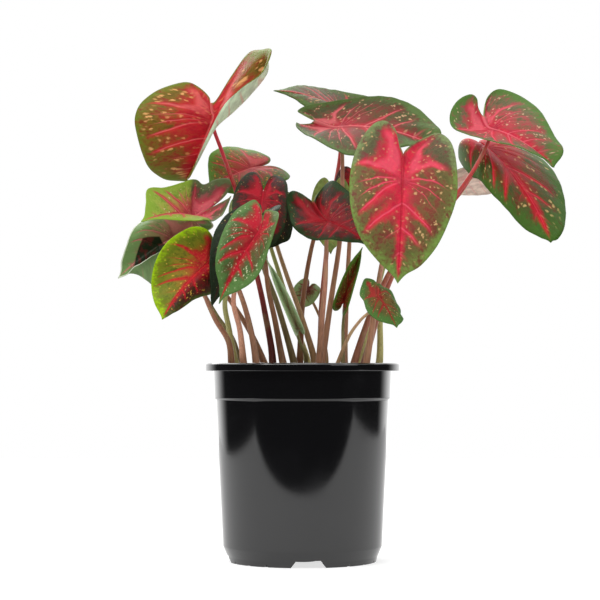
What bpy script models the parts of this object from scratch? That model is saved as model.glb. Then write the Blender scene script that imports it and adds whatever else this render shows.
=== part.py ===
"""A caladium in a black nursery pot: a thin pot filled with soil, four tubers in the soil, and leaves
that each have a stalk and a heart-shaped blade. Metres, +Z up, the origin under the middle of the pot."""

import math
from dataclasses import dataclass

import bpy
import bmesh
from mathutils import Matrix, Vector

MM = 0.001
GAP = 0.35 * MM

# Pot, measured on its outer side
RIM_RADIUS = 82.5 * MM
RIM_TOP = 166.5 * MM
RIM_SKIRT = 6.5 * MM
WALL = 1.2 * MM
COLLAR_TOP_RADIUS = 75.3 * MM
COLLAR_LOW_RADIUS = 74.4 * MM
COLLAR_LOW = 136.5 * MM
BODY_TOP_RADIUS = 73.0 * MM
BODY_LOW_RADIUS = 66.8 * MM
BODY_LOW = 13.0 * MM
FOOT_RADIUS = 62.8 * MM
FOOT_WIDTH = 11.0 * MM
FLOOR_HEIGHT = 6.0 * MM
CENTRE_FOOT_RADIUS = 12.0 * MM
POT_SEGMENTS = 48

# Openings in the foot of the pot
NOTCH_TOP_WIDTH = 20 * MM
NOTCH_LOW_WIDTH = 29 * MM
NOTCH_TURNS = (0, 90, 180, 270)
FOOT_TURN = 4.5
NICK_TURNS = (33, 50, 67)
NICK_WIDTH = 4 * MM
NICK_HEIGHT = 2.5 * MM
DRAIN_RADIUS = 4.5 * MM
DRAIN_CIRCLE = 36 * MM
DRAIN_COUNT = 6

# Soil and tubers
SOIL_EDGE = 158.5 * MM
SOIL_CROWN = 2.5 * MM
SOIL_LUMP = 1.1 * MM
SOIL_SEGMENTS = 32
SOIL_RINGS = (0.22, 0.44, 0.65, 0.84)
TUBER_RADIUS = 21 * MM
TUBER_HEIGHT = 26 * MM
TUBER_TOP = 130 * MM
TUBER_SPOTS = ((-42 * MM, -10 * MM), (-12 * MM, 22 * MM), (4 * MM, -26 * MM), (40 * MM, 4 * MM))

# Blades and stalks
BLADE_THICKNESS = 0.8 * MM
WAVE_HEIGHT = 1.2 * MM
WAVES = 5
BLADE_RINGS = (0.34, 0.68, 1.0)
SMALL_BLADE_RINGS = (0.55, 1.0)
STALK_SIDES = 6
STALK_STEPS = 2
STALK_GAP = 0.75 * MM
LONG_REACH = 25 * MM
STALK_TAPER = 0.8
ROOT_INWARD = 0.45
END_REACH = 20 * MM
HOLE_RINGS = 4
HOLE_DEEPER = 2 * MM

# Half of a flat blade, from its tip round a lobe to the cleft, where the stalk is at 0, 0 and the tip at 0, 1
BLADE_OUTLINE = (
    (0.00, 1.00), (0.07, 0.89), (0.20, 0.78), (0.37, 0.61), (0.48, 0.39), (0.54, 0.13), (0.53, -0.12),
    (0.46, -0.34), (0.33, -0.51), (0.20, -0.56), (0.10, -0.48), (0.04, -0.32), (0.00, -0.17),
)
HALF_WIDTH = 0.54
LOBE_LENGTH = 0.56
STATIONS = 24
CREST_EDGE = 0.65


@dataclass
class Leaf:
    """A leaf: places in millimetres, angles in degrees. Left and right are as seen on its upper side, tip down.

    stalk runs from the blade down to the soil. fold is the angle at which each half leaves the midrib and curl
    is how far it then turns. moves and crests shift the margin and the blade within it, at stations that are
    counted round the margin from the tip."""

    name: str
    joint: tuple
    tip: tuple
    face: tuple
    stalk: tuple
    width: float = 1.0
    lobes: float = 1.0
    fold: tuple = (12, 12)
    curl: tuple = (-25, -25)
    droop: float = 35
    nod: float = 25
    moves: tuple = ()
    crests: tuple = ()
    small: bool = False
    thick: tuple = (3.0, 1.5)
    colour: tuple = (0.12, 0.2, 0.06)


LEAVES = (
    Leaf("leaf_01", (-76, -20, 368), (-96, 0, 323), (0.1, -1.0, -0.1),
         ((-68, -16, 345), (-55, -2, 308), (-41, -8, 251), (-32, -18, 211), (-25, -22, 161)),
         width=1.8, lobes=0.9, fold=(5, 75), curl=(-25, 20), droop=70, nod=45,
         moves=((0, -3, 6, -2), (1, -4, 8, 2), (2, -3, 8, 8), (3, 0, 12, 22), (4, 11, 10, 42), (5, 15, 8, 29),
                (6, 23, 0, 14), (7, 26, -10, 15), (8, 21, -12, 17), (9, 14, 0, 25), (10, 5, 0, 15), (11, -3, 0, 4),
                (12, -4, 0, 9), (13, -4, 0, 9), (14, -9, 0, 9), (15, -10, 0, 6), (16, -12, 0, 0),
                (17, -10, 0, -3), (18, -11, 0, -6), (19, -11, 0, -9), (20, -10, 4, -9), (21, -10, 8, -13),
                (22, -16, 8, -9), (23, -15, 8, -7)),
         crests=((0, 0, 0, 0), (3, 0, 0, 0), (4, -1, 0, -4), (5, 6, 0, -1), (6, 10, 5, 4), (7, 17, 5, 9),
                 (8, 5, 0, 6), (9, 0, 0, 0)),
         colour=(0.3, 0.16, 0.08)),
    Leaf("leaf_02", (-93, -35, 289), (-131, -72, 283), (0.3, -0.75, 0.55),
         ((-80, -20, 273), (-59, -18, 240), (-46, -30, 206), (-38, -34, 161)),
         width=1.1, lobes=1.5, fold=(10, 45), curl=(-20, -20), nod=-20,
         moves=((0, 0, 0, -2), (4, 0, 0, 1), (5, -8, 0, 3), (6, -12, 0, 3), (7, -13, 0, 6), (8, -12, 0, 8),
                (9, -4, 0, 19), (10, 1, 0, 16), (11, 0, 0, 9), (12, 1, 0, 5), (13, 3, 0, 8), (14, 8, 0, 16),
                (15, 8, 0, 21), (16, 3, 0, 16), (17, 6, 0, 7), (18, 14, -4, 8), (19, 14, 0, 3), (20, 5, 0, -1),
                (21, -3, 0, 3), (22, -1, 0, 1)),
         colour=(0.45, 0.42, 0.2)),
    Leaf("leaf_03", (-45, 25, 334), (-84, 10, 308), (-0.2, -0.9, 0.7),
         ((-40, 5, 293), (-34, -8, 252), (-21, -7, 215), (-6, -4, 161)), width=1.15, lobes=1.25,
         moves=((0, 2, 5, 6), (4, 0, 0, 0), (15, -4, 0, -1), (16, -8, 0, 0), (17, -6, 0, 0), (18, -2, 0, 3),
                (19, -1, 0, 5), (20, -2, 0, 5), (21, 1, 5, 6), (22, 2, 8, 8)),
         colour=(0.22, 0.18, 0.1)),
    Leaf("leaf_04", (-34, -20, 302), (-38, -30, 249), (0.0, -1.0, 0.3),
         ((-32, -12, 269), (-29, -24, 231), (-23, -26, 202), (-15, -28, 161)), width=0.84, lobes=1.03,
         moves=((0, 0, 0, 0), (4, -1, 0, 0), (5, -3, 0, 0), (6, -3, 0, 0), (8, 0, 0, 0)),
         colour=(0.12, 0.03, 0.03)),
    Leaf("leaf_05", (-37, -95, 268), (-66, -105, 213), (-0.3, -1.0, 0.2),
         ((-46, -80, 248), (-56, -70, 219), (-51, -62, 193), (-48, -50, 161)),
         fold=(25, 38), curl=(-15, 10), lobes=0.9, width=0.95,
         moves=((1, 0, 0, 0), (2, 5, 0, 0), (3, 6, 0, -2), (4, 3, 0, -5), (5, -2, 0, -4), (6, -6, 0, 0),
                (7, -11, 0, -2), (8, -14, 0, -2), (9, -15, 0, 0), (10, -12, 0, 2), (11, -6, 0, 2), (12, -1, 0, 4),
                (13, -3, 0, 5), (14, -8, 0, 6), (15, -10, 0, 2), (16, -9, 0, -5), (17, -5, 0, -9), (18, 0, 0, -11),
                (19, 5, 0, -9), (20, 7, 0, -7), (21, 7, 0, -4), (22, 5, 0, -2), (23, 1, 0, 0)),
         colour=(0.2, 0.26, 0.12)),
    Leaf("leaf_06", (-81, -75, 243), (-112, -95, 201), (-0.4, -1.0, 0.3),
         ((-81, -58, 226), (-72, -48, 203), (-61, -42, 184), (-58, -38, 161)),
         lobes=1.15, nod=10, fold=(15, 15),
         moves=((0, 0, 0, 0), (1, 1, 0, -1), (2, 0, 8, 1), (3, -2, 22, 6), (4, -2, 40, 4), (5, -5, 48, -2),
                (6, -5, 46, 0), (7, -5, 40, 0), (8, -3, 32, 0), (9, 0, 24, 0), (11, 0, 8, 0), (12, 0, 0, 0),
                (13, 0, -2, 2), (14, -5, -6, 4), (15, -9, -22, 7), (16, -11, -28, 7), (17, -9, -28, 6),
                (18, -9, -25, 4), (19, -8, -18, -3), (20, -5, -8, -6), (21, -3, 0, -4), (22, -3, 0, -3),
                (23, -2, 0, -2)),
         colour=(0.34, 0.32, 0.06)),
    Leaf("leaf_07", (-109, -25, 270), (-152, -45, 236), (-0.1, -0.8, 0.6),
         ((-98, -12, 251), (-73, -10, 207), (-59, -10, 186), (-53, -8, 161)),
         fold=(40, -20), curl=(-10, 160),
         moves=((0, 0, 0, 0), (1, 0, 0, 0), (2, -2, 0, 5), (3, -1, 0, 2), (4, 0, 0, -5), (5, 0, 0, -12),
                (6, 0, 0, -14), (7, -8, 0, -8), (8, -11, 0, -4), (9, -10, 0, -3), (12, 0, 0, 0), (13, 9, 0, -2),
                (14, 15, 0, -1), (15, 12, 0, -3), (16, 8, 0, -5), (17, -8, 0, -13), (18, -14, 0, -14),
                (19, -8, 0, -14), (20, 0, 0, -10), (21, 4, 0, -6), (22, 1, 0, -4), (23, 0, 0, 0)),
         crests=((0, 0, 0, 0), (1, 0, 0, -9), (2, 0, 0, -18), (3, 0, -3, -27), (4, -2, -4, -29), (5, -4, -4, -29),
                 (6, -4, -2, -20), (8, 0, 0, 0)),
         colour=(0.3, 0.34, 0.2)),
    Leaf("leaf_08", (-46, -62, 272), (-70, -78, 213), (-0.5, -1.0, 0.2),
         ((-55, -58, 250), (-64, -42, 218), (-61, -29, 194), (-55, -22, 161)),
         width=0.75, fold=(10, 40),
         moves=((0, -3, 0, -1), (1, 0, 5, 0), (2, 0, 15, 0), (3, 0, 24, 0), (4, 0, 26, 0), (5, 0, 26, 0),
                (6, 0, 22, 0), (7, 0, 12, 0), (9, 0, 0, 0), (16, 0, -8, 0), (17, -5, -12, -1), (18, -4, -16, -2),
                (20, 3, -16, -2), (21, 4, -14, -2), (22, 1, -10, -4), (23, -3, -4, -3)),
         colour=(0.05, 0.06, 0.04)),
    Leaf("leaf_09", (-29, 16, 294), (-27, 12, 253), (0.2, -1.0, 0.1),
         ((-23, 20, 271), (-12, 6, 237), (0, -3, 203), (11, -2, 161)), width=0.9,
         moves=((0, -2, 0, 11), (1, 0, 0, 8), (2, 1, 0, 6), (3, 2, 0, 2), (4, 1, 0, 0), (22, 0, 0, 4), (23, 0, 0, 8)),
         colour=(0.07, 0.05, 0.04)),
    Leaf("leaf_10", (22, -45, 283), (63, -70, 261), (-0.1, -0.95, 0.4),
         ((20, -38, 268), (19, -38, 235), (16, -35, 202), (13, -30, 161)),
         lobes=1.3, nod=-10, fold=(35, 5),
         moves=((0, -8, 0, 0), (1, -6, 0, 0), (3, -6, 0, -1), (4, -5, 0, 2), (5, -2, 0, 2), (6, 2, 0, 6),
                (7, 7, 0, 11), (8, 14, 0, 12), (9, 16, 0, 11), (10, 11, 0, 10), (11, 3, 0, 11), (12, -4, 0, 13),
                (13, 0, 0, 15), (14, 4, 0, 17), (15, 4, 0, 19), (16, 2, 10, 17), (17, 0, 15, 13), (18, -5, 15, 9),
                (19, -8, 20, 6), (20, -11, 20, 3), (21, -12, 15, 5), (22, -12, 10, 3), (23, -9, 5, 2)),
         colour=(0.07, 0.03, 0.03)),
    Leaf("leaf_11", (25, 15, 301), (24, 5, 259), (0.0, 1.0, 0.1),
         ((15, 8, 287), (7, 6, 261), (0, 8, 216), (-3, 12, 161)), width=0.75,
         colour=(0.3, 0.33, 0.18)),
    Leaf("leaf_12", (49, 40, 320), (52, 30, 278), (0.0, -1.0, 0.3),
         ((42, 45, 295), (41, 44, 273), (38, 36, 221), (36, 28, 161)), width=0.9, small=True,
         colour=(0.2, 0.05, 0.05)),
    Leaf("leaf_13", (80, -95, 312), (75, -112, 229), (0.0, -1.0, 0.2),
         ((76, -66, 286), (66, -38, 250), (60, -28, 210), (52, -26, 161)),
         lobes=1.12, nod=10,
         moves=((0, 0, 0, 0), (1, 0, 0, -2), (2, 0, 0, -4), (3, -3, 0, -3), (4, -4, 0, -2), (5, -3, 0, -2),
                (6, -2, 0, -1), (7, 1, 0, 0), (8, 7, 0, -3), (9, 10, 0, -3), (10, 8, 0, -2), (11, 2, 0, 3),
                (12, 0, 0, 8), (13, 0, 0, 5), (14, 1, 0, 5), (15, 1, 0, 4), (16, 2, 0, 3), (17, 3, 0, 1),
                (18, 4, 0, 1),
                (19, 4, 0, 0), (20, 2, 0, 0), (21, 1, 0, -1), (22, 0, 0, -2), (23, 0, 0, -2)),
         colour=(0.55, 0.2, 0.18)),
    Leaf("leaf_14", (37, 80, 386), (-25, 30, 404), (0.05, -0.6, 1.0),
         ((33, 75, 347), (26, 65, 306), (17, 45, 221), (13, 30, 161)),
         lobes=1.2, nod=-60, fold=(15, 40),
         moves=((0, 0, 0, -2), (1, -3, 3, -6), (2, -7, 6, -11), (3, -13, 6, -17), (4, -13, 6, -15), (5, -9, 4, -10),
                (7, 0, 0, 0), (13, 0, 0, 0), (14, 6, 0, 4), (15, 8, 0, 7), (16, 8, 0, 6), (17, 11, 0, 12),
                (18, 13, 0, 11), (19, 13, 0, 1), (20, 9, 0, -6), (21, 8, 0, -8), (22, 4, 0, -6), (23, 0, 0, -3)),
         colour=(0.35, 0.2, 0.16)),
    Leaf("leaf_15", (32, 0, 367), (116, -30, 344), (0.1, -0.6, 0.9),
         ((34, 0, 335), (32, -6, 275), (24, -11, 220), (15, -14, 161)), lobes=0.9, nod=-20, width=0.9,
         moves=((0, 0, 0, 0), (1, 6, 0, 6), (2, 5, 0, 5), (3, 0, -4, 9), (4, -2, -14, 9), (5, 0, -22, 6),
                (6, 0, -24, 4), (7, 0, -22, 2), (8, 0, -16, 2), (9, 0, -6, 2), (11, -2, 0, 6), (12, -8, 0, 6),
                (13, 0, 0, 4), (14, 5, 0, 2), (15, 12, 0, 3), (16, 13, 0, 4), (17, 11, 0, 7), (18, 4, 0, 9),
                (19, 0, 0, -1), (20, -6, 0, -9), (22, 0, 0, 0)),
         colour=(0.4, 0.22, 0.17)),
    Leaf("leaf_16", (159, -25, 362), (210, -50, 334), (-0.3, -0.8, 0.6),
         ((139, -20, 321), (104, -4, 279), (72, 0, 240), (42, 0, 161)),
         fold=(25, 10), curl=(-70, -20), nod=-30, lobes=1.1,
         moves=((0, -3, 0, -7), (1, 7, 0, -5), (2, 9, 0, -8), (3, 7, 0, -12), (4, 9, 0, -10), (5, 15, 0, -8),
                (6, 19, 0, -3), (7, 24, 0, 1), (8, 27, 0, 6), (9, 27, 0, 9), (10, 20, 0, 9), (11, 11, 0, 8),
                (12, 4, 0, 7), (13, 8, 0, 13), (14, 18, 0, 18), (15, 20, 0, 22), (16, 11, 0, 24), (17, -1, 0, 25),
                (18, -10, 0, 25), (19, -8, 0, 23), (20, -3, 0, 18), (21, 1, 0, 13), (22, 2, 0, 3), (23, 1, 0, -3)),
         colour=(0.5, 0.24, 0.2)),
    Leaf("leaf_17", (158, 5, 349), (208, -20, 267), (0.6, -0.7, 0.5),
         ((137, 18, 315), (105, 18, 276), (78, 16, 244), (51, 12, 161)),
         fold=(28, 8), curl=(-20, -20), nod=90, lobes=0.8,
         moves=((0, 0, 0, 0), (1, 4, 0, -9), (2, 6, 0, -12), (3, 7, 0, -12), (4, 10, 0, -11), (5, 13, 0, -13),
                (6, 16, 0, -16), (7, 16, 0, -10), (8, 19, 0, -2), (9, 20, 0, 0), (10, 20, 0, -3), (11, 14, 0, -6),
                (12, 6, 0, -6), (13, 14, 4, -4), (14, 22, 8, 3), (15, 27, 12, 3), (16, 33, 15, -8), (17, 35, 20, -29),
                (18, 25, 32, -34), (19, 11, 32, -22), (20, -2, 26, -14), (21, -8, 18, -8), (22, -9, 10, -7),
                (23, -3, 3, -5)),
         colour=(0.5, 0.22, 0.2)),
    Leaf("leaf_18", (144, 45, 325), (192, 70, 317), (0.1, 0.6, 0.9),
         ((120, 45, 295), (93, 45, 266), (70, 38, 230), (65, 22, 161)), width=0.8,
         moves=((0, 0, 0, 0), (14, 0, 0, 0), (16, 0, 10, 5), (17, 0, 10, 5), (19, 0, 4, 0)),
         colour=(0.6, 0.5, 0.4)),
    Leaf("leaf_19", (4, 50, 230), (-5, 45, 212), (0.0, -1.0, 0.3),
         ((8, 50, 222), (16, 46, 204), (19, 42, 187), (20, 38, 161)), small=True,
         thick=(1.8, 1.1)),
    Leaf("leaf_20", (35, -20, 220), (50, -25, 263), (-0.1, -1.0, 0.1),
         ((35, -11, 209), (34, -9, 196), (34, -11, 182), (34, -14, 161)),
         width=0.5, lobes=0.4, fold=(55, 55), curl=(10, 10), small=True,
         thick=(1.8, 1.1)),
    Leaf("leaf_21", (63, -52, 220), (77, -59, 195), (0.2, -1.0, 0.3),
         ((59, -46, 212), (48, -45, 202), (38, -44, 188), (27, -40, 161)), width=1.1,
         moves=((0, 0, 0, 0), (3, 0, 0, -8), (4, -2, 0, -12), (5, 0, 0, -14), (6, 1, 0, -14), (7, 2, 0, -7),
                (8, 2, 0, -4), (9, 3, 0, 0), (11, 2, 0, 1), (13, 4, 0, 7), (14, 5, 0, 8), (15, 3, 0, 8),
                (16, 3, 0, 5), (17, 2, 0, 2), (18, 4, 0, 2), (20, 0, 0, 0)),
         thick=(1.8, 1.1)),
    Leaf("leaf_22", (-5, -42, 197), (-30, -48, 253), (0.0, -1.0, 0.1),
         ((-4, -35, 190), (-1, -31, 181), (3, -25, 172), (2, -18, 161)),
         width=0.3, lobes=0.15, fold=(60, 60), curl=(10, 10), small=True,
         thick=(1.8, 1.1)),
    Leaf("leaf_23", (-36, 95, 308), (-48, 130, 270), (-0.2, 0.8, 0.5),
         ((-31, 80, 280), (-20, 70, 244), (-8, 60, 204), (5, 50, 161)), small=True),
    Leaf("leaf_24", (91, 80, 322), (107, 125, 283), (0.2, 0.8, 0.5),
         ((85, 70, 297), (73, 60, 257), (61, 52, 213), (48, 42, 161)), small=True),
    Leaf("leaf_25", (-99, 60, 266), (-116, 85, 236), (-0.3, 0.8, 0.5),
         ((-85, 52, 248), (-63, 45, 221), (-44, 40, 191), (-31, 34, 161)), small=True),
)


def clear_scene():
    for old in list(bpy.data.objects):
        bpy.data.objects.remove(old, do_unlink=True)


def material(name, colour, roughness):
    made = bpy.data.materials.new(name)
    made.use_nodes = True
    shader = made.node_tree.nodes["Principled BSDF"]
    shader.inputs["Base Color"].default_value = (*colour, 1)
    shader.inputs["Roughness"].default_value = roughness
    shader.inputs["Metallic"].default_value = 0
    return made


def add_object(name, points, faces, finish=None, smooth=True):
    mesh = bpy.data.meshes.new(name)
    mesh.from_pydata([tuple(point) for point in points], [], faces)
    mesh.validate()
    body = bmesh.new()
    body.from_mesh(mesh)
    bmesh.ops.recalc_face_normals(body, faces=body.faces)
    body.to_mesh(mesh)
    body.free()
    if smooth:
        mesh.shade_smooth()
        mesh.set_sharp_from_angle(angle=math.radians(35))
    if finish:
        mesh.materials.append(finish)
    made = bpy.data.objects.new(name, mesh)
    bpy.context.scene.collection.objects.link(made)
    return made


def hide_cutter(cutter):
    cutter.hide_render = True
    cutter.display_type = "WIRE"


def cut(target, cutters, name):
    """Takes the cutters away from the target in one Boolean, then removes them."""
    group = bpy.data.collections.new(name)
    bpy.context.scene.collection.children.link(group)
    for cutter in cutters:
        bpy.context.scene.collection.objects.unlink(cutter)
        group.objects.link(cutter)
        hide_cutter(cutter)
    cutting = target.modifiers.new(name, "BOOLEAN")
    cutting.operation = "DIFFERENCE"
    cutting.operand_type = "COLLECTION"
    cutting.collection = group
    cutting.solver = "EXACT"
    bpy.context.view_layer.update()
    graph = bpy.context.evaluated_depsgraph_get()
    done = bpy.data.meshes.new_from_object(target.evaluated_get(graph))
    target.modifiers.clear()
    target.data = done
    for cutter in cutters:
        bpy.data.objects.remove(cutter, do_unlink=True)
    bpy.data.collections.remove(group)


def turned(name, profile, segments, finish=None):
    """A closed solid turned round the Z axis from a profile of radius and height, whose ends lie on the axis."""
    points = []
    rings = []
    for radius, height in profile:
        if radius == 0:
            rings.append([len(points)])
            points.append((0, 0, height))
            continue
        rings.append(list(range(len(points), len(points) + segments)))
        for step in range(segments):
            turn = 2 * math.pi * step / segments
            points.append((radius * math.cos(turn), radius * math.sin(turn), height))
    faces = []
    for low, high in zip(rings, rings[1:]):
        for step in range(segments):
            after = (step + 1) % segments
            corners = [low[step % len(low)], low[after % len(low)], high[after % len(high)], high[step % len(high)]]
            faces.append(list(dict.fromkeys(corners)))
    return add_object(name, points, faces, finish)


def inner_radius(height):
    """The radius of the pot's inner side at a height above its foot."""
    if height >= COLLAR_LOW + WALL:
        share = (height - COLLAR_LOW) / (RIM_TOP - RIM_SKIRT - COLLAR_LOW)
        return COLLAR_LOW_RADIUS + share * (COLLAR_TOP_RADIUS - COLLAR_LOW_RADIUS) - WALL
    share = (height - BODY_LOW) / (COLLAR_LOW - BODY_LOW)
    return BODY_LOW_RADIUS + share * (BODY_TOP_RADIUS - BODY_LOW_RADIUS) - WALL


def make_pot():
    skirt_low = RIM_TOP - RIM_SKIRT
    bevel = 1.2 * MM
    channel_in = FOOT_RADIUS - FOOT_WIDTH
    slope = 2 * MM
    outside = [
        (0, 0),
        (CENTRE_FOOT_RADIUS, 0),
        (CENTRE_FOOT_RADIUS + slope, FLOOR_HEIGHT),
        (channel_in - slope, FLOOR_HEIGHT),
        (channel_in, 0),
        (FOOT_RADIUS - 0.4 * MM, 0),
        (FOOT_RADIUS + 0.4 * MM, 4.5 * MM),
        (BODY_LOW_RADIUS, BODY_LOW),
        (BODY_TOP_RADIUS, COLLAR_LOW - 0.4 * MM),
        (COLLAR_LOW_RADIUS, COLLAR_LOW + 0.4 * MM),
        (COLLAR_TOP_RADIUS, skirt_low),
        (COLLAR_TOP_RADIUS + 0.2 * MM, RIM_TOP - WALL),
        (RIM_RADIUS - WALL, RIM_TOP - WALL),
        (RIM_RADIUS - WALL, skirt_low),
        (RIM_RADIUS, skirt_low),
        (RIM_RADIUS, RIM_TOP - bevel),
        (RIM_RADIUS - bevel, RIM_TOP),
    ]
    inside = [
        (COLLAR_TOP_RADIUS, RIM_TOP),
        (COLLAR_TOP_RADIUS - WALL, RIM_TOP - bevel),
        (inner_radius(COLLAR_LOW + WALL), COLLAR_LOW + WALL),
        (inner_radius(COLLAR_LOW - WALL), COLLAR_LOW - WALL),
        (inner_radius(BODY_LOW), BODY_LOW),
        (FOOT_RADIUS - WALL, 5.2 * MM),
        (FOOT_RADIUS - WALL - 0.6 * MM, WALL),
        (channel_in + WALL, WALL),
        (channel_in - slope + WALL, FLOOR_HEIGHT + WALL),
        (CENTRE_FOOT_RADIUS + slope - WALL, FLOOR_HEIGHT + WALL),
        (CENTRE_FOOT_RADIUS - WALL, WALL),
        (0, WALL),
    ]
    pot = turned("pot", outside + inside, POT_SEGMENTS, material("pot", (0.012, 0.012, 0.013), 0.22))
    cutters = [foot_notch(FOOT_TURN + turn) for turn in NOTCH_TURNS]
    for side in (FOOT_TURN, FOOT_TURN + 180):
        for turn in NICK_TURNS:
            cutters.append(foot_nick(side + turn))
            cutters.append(foot_nick(side - turn))
    cutters += [drain_hole(index) for index in range(DRAIN_COUNT)]
    cut(pot, cutters, "foot openings")
    return pot


def prism(name, outline, start, end, turn):
    """A cutter: an outline of across and up, run along the radius from start to end, turned about Z from the front."""
    facing = Matrix.Rotation(math.radians(turn), 4, "Z")
    points = [facing @ Vector((x, -along, z)) for along in (start, end) for x, z in outline]
    count = len(outline)
    faces = [list(range(count)), list(range(count, 2 * count))]
    for index in range(count):
        after = (index + 1) % count
        faces.append([index, after, count + after, count + index])
    return add_object(name, points, faces, smooth=False)


def foot_notch(turn):
    low, top, below = NOTCH_LOW_WIDTH / 2, NOTCH_TOP_WIDTH / 2, 1 * MM
    outline = [(-low - 0.7 * MM, -below), (low + 0.7 * MM, -below), (top, FLOOR_HEIGHT), (-top, FLOOR_HEIGHT)]
    return prism("notch cutter", outline, FOOT_RADIUS - FOOT_WIDTH - 4 * MM, FOOT_RADIUS + 6 * MM, turn)


def foot_nick(turn):
    half = NICK_WIDTH / 2
    outline = [(-1.4 * half, -1 * MM), (1.4 * half, -1 * MM), (0, NICK_HEIGHT)]
    return prism("nick cutter", outline, FOOT_RADIUS - 3 * WALL, FOOT_RADIUS + 6 * MM, turn)


def drain_hole(index):
    turn = 2 * math.pi * (index + 0.5) / DRAIN_COUNT
    sides = 12
    points = []
    for height in (FLOOR_HEIGHT - 2 * MM, FLOOR_HEIGHT + 4 * MM):
        for step in range(sides):
            round_turn = 2 * math.pi * step / sides
            x = DRAIN_CIRCLE * math.cos(turn) + DRAIN_RADIUS * math.cos(round_turn)
            y = DRAIN_CIRCLE * math.sin(turn) + DRAIN_RADIUS * math.sin(round_turn)
            points.append((x, y, height))
    faces = [list(range(sides)), list(range(sides, 2 * sides))]
    for step in range(sides):
        after = (step + 1) % sides
        faces.append([step, after, sides + after, sides + step])
    return add_object("drain cutter", points, faces, smooth=False)


def soil_height(x, y):
    """The soil is a little crowned and lumpy."""
    away = math.hypot(x, y) / COLLAR_TOP_RADIUS
    lumps = math.sin(x / (7 * MM)) * math.cos(y / (8 * MM)) + 0.6 * math.sin((x + 1.7 * y) / (5 * MM))
    return SOIL_EDGE + SOIL_CROWN * (1 - away * away) + SOIL_LUMP * lumps * (1 - away ** 6)


def make_soil(holes):
    floor = FLOOR_HEIGHT + WALL + GAP
    step_low, step_high = COLLAR_LOW - WALL - GAP, COLLAR_LOW + WALL + 2 * GAP
    clear = GAP + 0.1 * MM
    sides = [
        (FOOT_RADIUS - 3 * MM, floor),
        (inner_radius(BODY_LOW) - clear, BODY_LOW + 1 * MM),
        (inner_radius(step_low) - clear, step_low),
        (inner_radius(step_high) - clear, step_high),
        (inner_radius(SOIL_EDGE) - clear, None),
    ]
    profile = [(0, floor)] + sides + [(share * COLLAR_TOP_RADIUS, None) for share in reversed(SOIL_RINGS)] + [(0, None)]
    flat = [(radius, SOIL_EDGE if height is None else height) for radius, height in profile]
    soil = turned("soil", flat, SOIL_SEGMENTS, material("soil", (0.035, 0.022, 0.014), 0.95))
    for vertex in soil.data.vertices:
        if abs(vertex.co.z - SOIL_EDGE) < 0.01 * MM:
            vertex.co.z = soil_height(vertex.co.x, vertex.co.y)
    cut(soil, holes, "holes in the soil")
    return soil


def tuber_surface(spot, x, y):
    """The height of a tuber's upper side."""
    away = min(0.98, math.hypot(x - spot[0], y - spot[1]) / TUBER_RADIUS)
    return TUBER_TOP - TUBER_HEIGHT / 2 * (1 - math.sqrt(1 - away * away))


def tuber_mesh(name, spot, grow, finish=None):
    """A knobbly flattened ball, its knobs round its waist, its upper side plain."""
    around, up = 12, 8
    radius, half = TUBER_RADIUS + grow, TUBER_HEIGHT / 2 + grow
    middle = TUBER_TOP - TUBER_HEIGHT / 2
    points = [(spot[0], spot[1], middle - half)]
    for level in range(1, up):
        lift = math.pi * level / up
        for step in range(around):
            turn = 2 * math.pi * step / around
            knob = 1 + 0.07 * math.sin(3 * turn + 2 * level + 40 * spot[0] / MM) * math.sin(lift) * (level < up / 2)
            ring = radius * math.sin(lift) * knob
            points.append((spot[0] + ring * math.cos(turn), spot[1] + ring * math.sin(turn),
                           middle - half * math.cos(lift)))
    points.append((spot[0], spot[1], middle + half))
    last = len(points) - 1
    faces = []
    for step in range(around):
        after = (step + 1) % around
        faces.append([0, 1 + after, 1 + step])
        faces.append([last, last - around + step, last - around + after])
        for level in range(up - 2):
            low = 1 + level * around
            faces.append([low + step, low + after, low + around + after])
            faces.append([low + step, low + around + after, low + around + step])
    return add_object(name, points, faces, finish)


def bend(length, start, turn_per_length):
    """Where a strip ends, along and up, that leaves at an angle and turns evenly along its length."""
    if abs(turn_per_length) < 1e-6:
        return length * math.cos(start), length * math.sin(start)
    end = start + turn_per_length * length
    return ((math.sin(end) - math.sin(start)) / turn_per_length,
            (math.cos(start) - math.cos(end)) / turn_per_length)


class Blade:
    """The curved surface of a leaf's blade, as a function of a point on the flat blade."""

    def __init__(self, leaf):
        self.leaf = leaf
        self.joint = Vector(leaf.joint) * MM
        chord = Vector(leaf.tip) * MM - self.joint
        self.droop = math.radians(leaf.droop)
        half = self.droop / 2
        self.length = chord.length * (half / math.sin(half) if abs(half) > 1e-6 else 1)
        self.along = chord.normalized()
        face = Vector(leaf.face)
        self.face = (face - face.dot(self.along) * self.along).normalized()
        self.across = self.face.cross(self.along)

    def point(self, station, edge):
        """station runs round the margin from 0 at the tip, edge runs from 0 at the joint to 1 at the margin."""
        leaf = self.leaf
        across, along = flat_point(leaf, station, edge)
        right = across > 0
        start = self.droop / 2
        if along >= 0:
            forward, lift = bend(along * self.length, start, -self.droop / self.length)
            tilt = start - self.droop * along
        else:
            nod = math.radians(leaf.nod) / (LOBE_LENGTH * leaf.lobes)
            forward, lift = bend(along * self.length, start, -nod / self.length)
            tilt = start - nod * along
        up = self.face * math.cos(tilt) - self.along * math.sin(tilt)
        half_width = HALF_WIDTH * leaf.width * self.length
        out, rise = bend(abs(across) * leaf.width * self.length, math.radians(leaf.fold[right]),
                         math.radians(leaf.curl[right]) / half_width)
        rise += WAVE_HEIGHT * edge ** 3 * math.sin(WAVES * 2 * math.pi * station / STATIONS)
        place = self.joint + self.along * forward + self.face * lift
        place += self.across * (out if right else -out) + up * rise
        crest = max(0, 1 - ((edge - CREST_EDGE) / (1 - CREST_EDGE)) ** 2) ** 2
        return place + move_at(leaf.moves, station) * edge ** 2 + move_at(leaf.crests, station) * crest


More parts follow.
